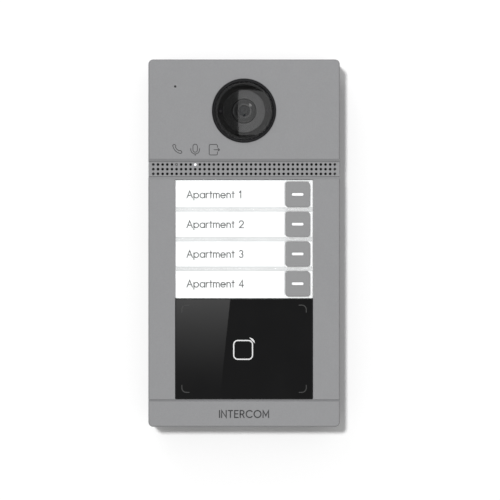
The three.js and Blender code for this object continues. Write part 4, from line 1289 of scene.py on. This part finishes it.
LETTERS = {
    "A": (0.80, [[(0, 0), (0.40, 1), (0.80, 0)], [(0.14, 0.35), (0.66, 0.35)]]),
    "p": (0.68, [arc(BOWL, BOWL, BOWL, 0, 360, 20), stem(0, X_HEIGHT, -0.3)]),
    "a": (0.68, [arc(BOWL, BOWL, BOWL, 0, 360, 20), stem(0.68, X_HEIGHT, 0)]),
    "r": (0.28, [stem(0, 0, X_HEIGHT), arc(0.27, 0.41, 0.27, 180, 80, 8)]),
    "t": (0.34, [stem(0.17, 0, 0.95), [(0, X_HEIGHT), (0.34, X_HEIGHT)]]),
    "m": (0.84, [stem(0, 0, X_HEIGHT), arch(0, 0.42), arch(0.42, 0.42)]),
    "e": (0.68, [[(0, BOWL), (0.68, BOWL), *arc(BOWL, BOWL, BOWL, 10, 318, 18)]]),
    "n": (0.50, [stem(0, 0, X_HEIGHT), arch(0, 0.50)]),
    "1": (0.30, [[(0, 0.80), (0.22, 1), (0.22, 0)]]),
    "2": (0.60, [[*arc(0.30, 0.70, 0.30, 170, -40, 14), (0.02, 0), (0.62, 0)]]),
    "3": (0.56, [arc(0.27, 0.755, 0.245, 150, -85, 12), arc(0.27, 0.265, 0.265, 85, -150, 14)]),
    "4": (0.62, [[(0.46, 0), (0.46, 1), (0, 0.28), (0.62, 0.28)]]),
    "I": (0.0, [stem(0, 0, 1)]),
    "N": (0.66, [[(0, 0), (0, 1), (0.66, 0), (0.66, 1)]]),
    "T": (0.62, [[(0, 1), (0.62, 1)], stem(0.31, 0, 1)]),
    "E": (0.50, [[(0.50, 1), (0, 1), (0, 0), (0.50, 0)], [(0, 0.52), (0.44, 0.52)]]),
    "R": (
        0.56,
        [
            [(0, 0), (0, 1), (0.28, 1), *arc(0.28, 0.74, 0.26, 80, -90, 10), (0, 0.48)],
            [(0.28, 0.48), (0.56, 0)],
        ],
    ),
    "C": (0.84, [arc(0.50, 0.50, 0.50, 45, 315, 20)]),
    "O": (1.00, [arc(0.50, 0.50, 0.50, 0, 360, 28)]),
    "M": (0.80, [[(0, 0), (0, 1), (0.40, 0.25), (0.80, 1), (0.80, 0)]]),
    " ": (0.30, []),
}


def lettering(text, x, y, size, spacing, centred=False):
    """Strokes for a line of text whose baseline starts, or is centred, at (x, y)."""
    widths = [LETTERS[c][0] * size for c in text]
    total = sum(widths) + spacing * (len(text) - 1)
    pen = x - total / 2 if centred else x
    strokes = []
    for letter, width in zip(text, widths):
        for line in LETTERS[letter][1]:
            round_trip = len(line) > 2 and (Vector(line[0]) - Vector(line[-1])).length < 1e-6
            points = [(pen + size * px, y + size * py) for px, py in line]
            strokes.append((points[:-1] if round_trip else points, round_trip))
        pen += width + spacing
    return strokes


# %% Names and maker's line
CARD_TEXT_LEFT = -29.9
CAPITAL = 3.6
TEXT_LINE = 0.50
TEXT_GAP = 0.78
GREY_TEXT = grained("grey_text", (0.05, 0.05, 0.05), (0.08, 0.08, 0.08), (0.6, 0.7), 6000, 0.002)
for n in (1, 2, 3, 4):
    card = span(f"name_card_{n}")
    text = lettering(f"Apartment {n}", CARD_TEXT_LEFT, card.y - CAPITAL / 2, CAPITAL, TEXT_GAP)
    print_lines(f"card_text_{n}", text, TEXT_LINE, card.front, GREY_TEXT)
LINE_Y = -89.3
MAKER_LINE = 0.62
MAKER_GAP = 1.1
maker_line = lettering("INTERCOM", 0, LINE_Y - CAPITAL / 2, CAPITAL, MAKER_GAP, centred=True)
print_lines("panel_lettering", maker_line, MAKER_LINE, FACE, INK)
print("lettering done")

# %% [markdown]
# ## Behind the face
#
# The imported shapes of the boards, seals, connectors, housing and wall plate are already right, so
# they stay. A weld and a small bevel, both as modifiers, give their edges the rounding that moulding,
# punching and milling leave, and each gets its own finish.

# %% Parts carried over
BOARD_BLACK = grained("board_black", (0.004, 0.004, 0.004), (0.008, 0.008, 0.008), (0.35, 0.5), 900, 0.01)
SENSOR = grained("sensor_glass", (0.01, 0.012, 0.02), (0.02, 0.024, 0.035), (0.05, 0.09), 2000, 0.001)
CONE_PAPER = grained("cone_paper", (0.02, 0.02, 0.021), (0.045, 0.045, 0.046), (0.7, 0.85), 1500, 0.04)


def carry(finish, edge, *names):
    """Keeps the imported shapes, with edges rounded by a width in millimetres."""
    for name in names:
        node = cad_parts[name]
        node.data.materials.clear()
        node.data.materials.append(finish)
        weld = node.modifiers.new("weld", "WELD")
        weld.merge_threshold = 0.002 * MILLIMETRE
        bevel = node.modifiers.new("soft_edge", "BEVEL")
        bevel.width = edge * MILLIMETRE
        bevel.segments = 2
        bevel.limit_method = "ANGLE"
        bevel.angle_limit = math.radians(40)
        node.modifiers.new("weighted", "WEIGHTED_NORMAL")


carry(CLOTH, 0.05, "grille_cloth")
carry(RUBBER, 0.15, "camera_seal", "microphone_boot", "housing_seal")
carry(SENSOR, 0.05, "image_sensor")
carry(BOARD_BLACK, 0.08, "camera_board")
carry(NIGHT_LAMP, 0.1, "ir_led_left", "ir_led_right")
carry(TINNED, 0.12, "microphone", "processor_shield", "memory_card_socket")
carry(SPEAKER_BLACK, 0.2, "speaker_frame")
carry(CONE_PAPER, 0.1, "speaker_cone")
carry(NICKEL, 0.3, "speaker_magnet")
carry(SILICONE, 0.12, "keypad_membrane")
carry(CIRCUIT_BOARD, 0.08, "button_board", "reader_board", "main_board")
carry(CONNECTOR_BLACK, 0.15, "network_jack", "tamper_switch", "memory_card")
carry(TERMINAL_GREEN, 0.12, "terminal_header", "terminal_plug")
carry(HOUSING_BLACK, 0.25, "rear_housing")
carry(ZINC, 0.2, "mounting_plate")
print("carried-over parts finished")

# %% [markdown]
# A screw thread is a ridge that climbs one pitch a turn. Rings of points stacked along the screw draw
# it, with each point's radius taken from how far it is along the turn. The socket is cut last.

# %% Screws, washer and plunger
THREAD_STEPS = 24
RINGS_A_PITCH = 6


def threaded(head, head_depth, core, crest, length, pitch, socket):
    """A socket screw along z, from the top of its head at z = 0 to its tip."""
    start, end = head_depth + 0.3, length - 0.6
    count = round((end - start) / pitch * RINGS_A_PITCH)
    angles = [2 * math.pi * i / THREAD_STEPS for i in range(THREAD_STEPS)]

    def plain(radius, z):
        return [(radius * math.cos(a), radius * math.sin(a), z) for a in angles]

    def ridged(z):
        ring = []
        for i, a in enumerate(angles):
            along = (z / pitch - i / THREAD_STEPS) % 1.0
            radius = core + (crest - core) * (1 - abs(2 * along - 1))
            ring.append((radius * math.cos(a), radius * math.sin(a), z))
        return ring

    rings = [plain(head - 0.25, 0), plain(head, 0.25)]
    rings += [plain(head, head_depth - 0.1), plain(head - 0.1, head_depth)]
    rings += [plain(core, head_depth + 0.01)]
    rings += [ridged(start + (end - start) * k / count) for k in range(count + 1)]
    rings += [plain(core, length - 0.5), plain(core * 0.6, length)]
    drive = slab(circle(socket, steps=6), -PAST, head_depth * 0.65, edge=0)
    return cut(loft(rings), drive)


def placed(target, x, y, z, along_y=False):
    """Moves a finished shape, and can turn its axis from z to y."""
    turn = Matrix.Rotation(math.radians(-90 if along_y else 0), 4, "X")
    target.data.transform(Matrix.Translation((x, y, z)) @ turn)
    return target


for n in (1, 2, 3, 4):
    box = span(f"housing_screw_{n}")
    screw = threaded(2.6, 1.7, 1.1, 1.4, box.front - box.back, 0.7, 1.1)
    screw = placed(screw, box.x, box.y, box.back)
    piece(f"housing_screw_body_{n}", screw, SCREW_STEEL, [f"housing_screw_{n}"])

lock_box = span("locking_screw")
LOCK_AXIS = (lock_box.back + lock_box.front) / 2
lock = threaded(2.65, 1.4, 1.15, 1.45, lock_box.height, 0.5, 1.15)
lock = placed(lock, 0, lock_box.bottom, LOCK_AXIS, along_y=True)
piece("locking_screw_body", lock, SCREW_STEEL, ["locking_screw"], body="lock_screw")

washer_box = span("locking_screw_washer")
washer_profile = filleted([(1.65, 0, 0.08), (2.9, 0, 0.12), (2.9, 0.5, 0.12), (1.65, 0.5, 0.08)], steps=3)
washer = placed(solid(turned(washer_profile, steps=48)), 0, washer_box.bottom, LOCK_AXIS, along_y=True)
piece("locking_washer_ring", washer, ZINC, ["locking_screw_washer"], body="lock_washer")

plunger_box = span("tamper_plunger")
plunger_profile = [
    (0, plunger_box.back),
    (1.2, plunger_box.back),
    (1.9, plunger_box.back + 0.6),
    (1.9, 5.0),
    (2.85, 5.0),
    (3.0, 5.15),
    (3.0, 5.85),
    (2.85, 6.0),
    (1.9, 6.0),
    (1.9, plunger_box.front - 0.2),
    (1.7, plunger_box.front),
    (0, plunger_box.front),
]
plunger = turned(plunger_profile, plunger_box.x, plunger_box.y, 48)
piece("tamper_plunger_pin", plunger, ACETAL, ["tamper_plunger"], body="plunger")

# %% Contacts and terminal screws
JACK_X, CONTACT_PITCH = span("network_jack").x, 1.02
for n in range(8):
    x = JACK_X + (n - 3.5) * CONTACT_PITCH
    spring_wire = rail([(-23.9, 8.6), (-23.9, 8.95), (-34.5, 12.0), (-34.5, 11.65)], x - 0.22, x + 0.22)
    piece(f"jack_contact_{n + 1}", spring_wire, GOLD, flat=True)

POLE_X, POLE_PITCH, POLES = span("terminal_plug").x, 3.81, 10
for n in range(POLES):
    x = POLE_X + (n - (POLES - 1) / 2) * POLE_PITCH
    clamp = turned([(0, 4.5), (1.15, 4.5), (1.3, 4.65), (1.3, 5.25), (0, 5.25)], x, -35, 32)
    clamp = cut(clamp, tool_bar(x - 0.2, x + 0.2, -37, -33, 3.5, 4.85, 0.05))
    piece(f"terminal_screw_{n + 1}", clamp, NICKEL, body="wire_plug")
print("rear parts done")
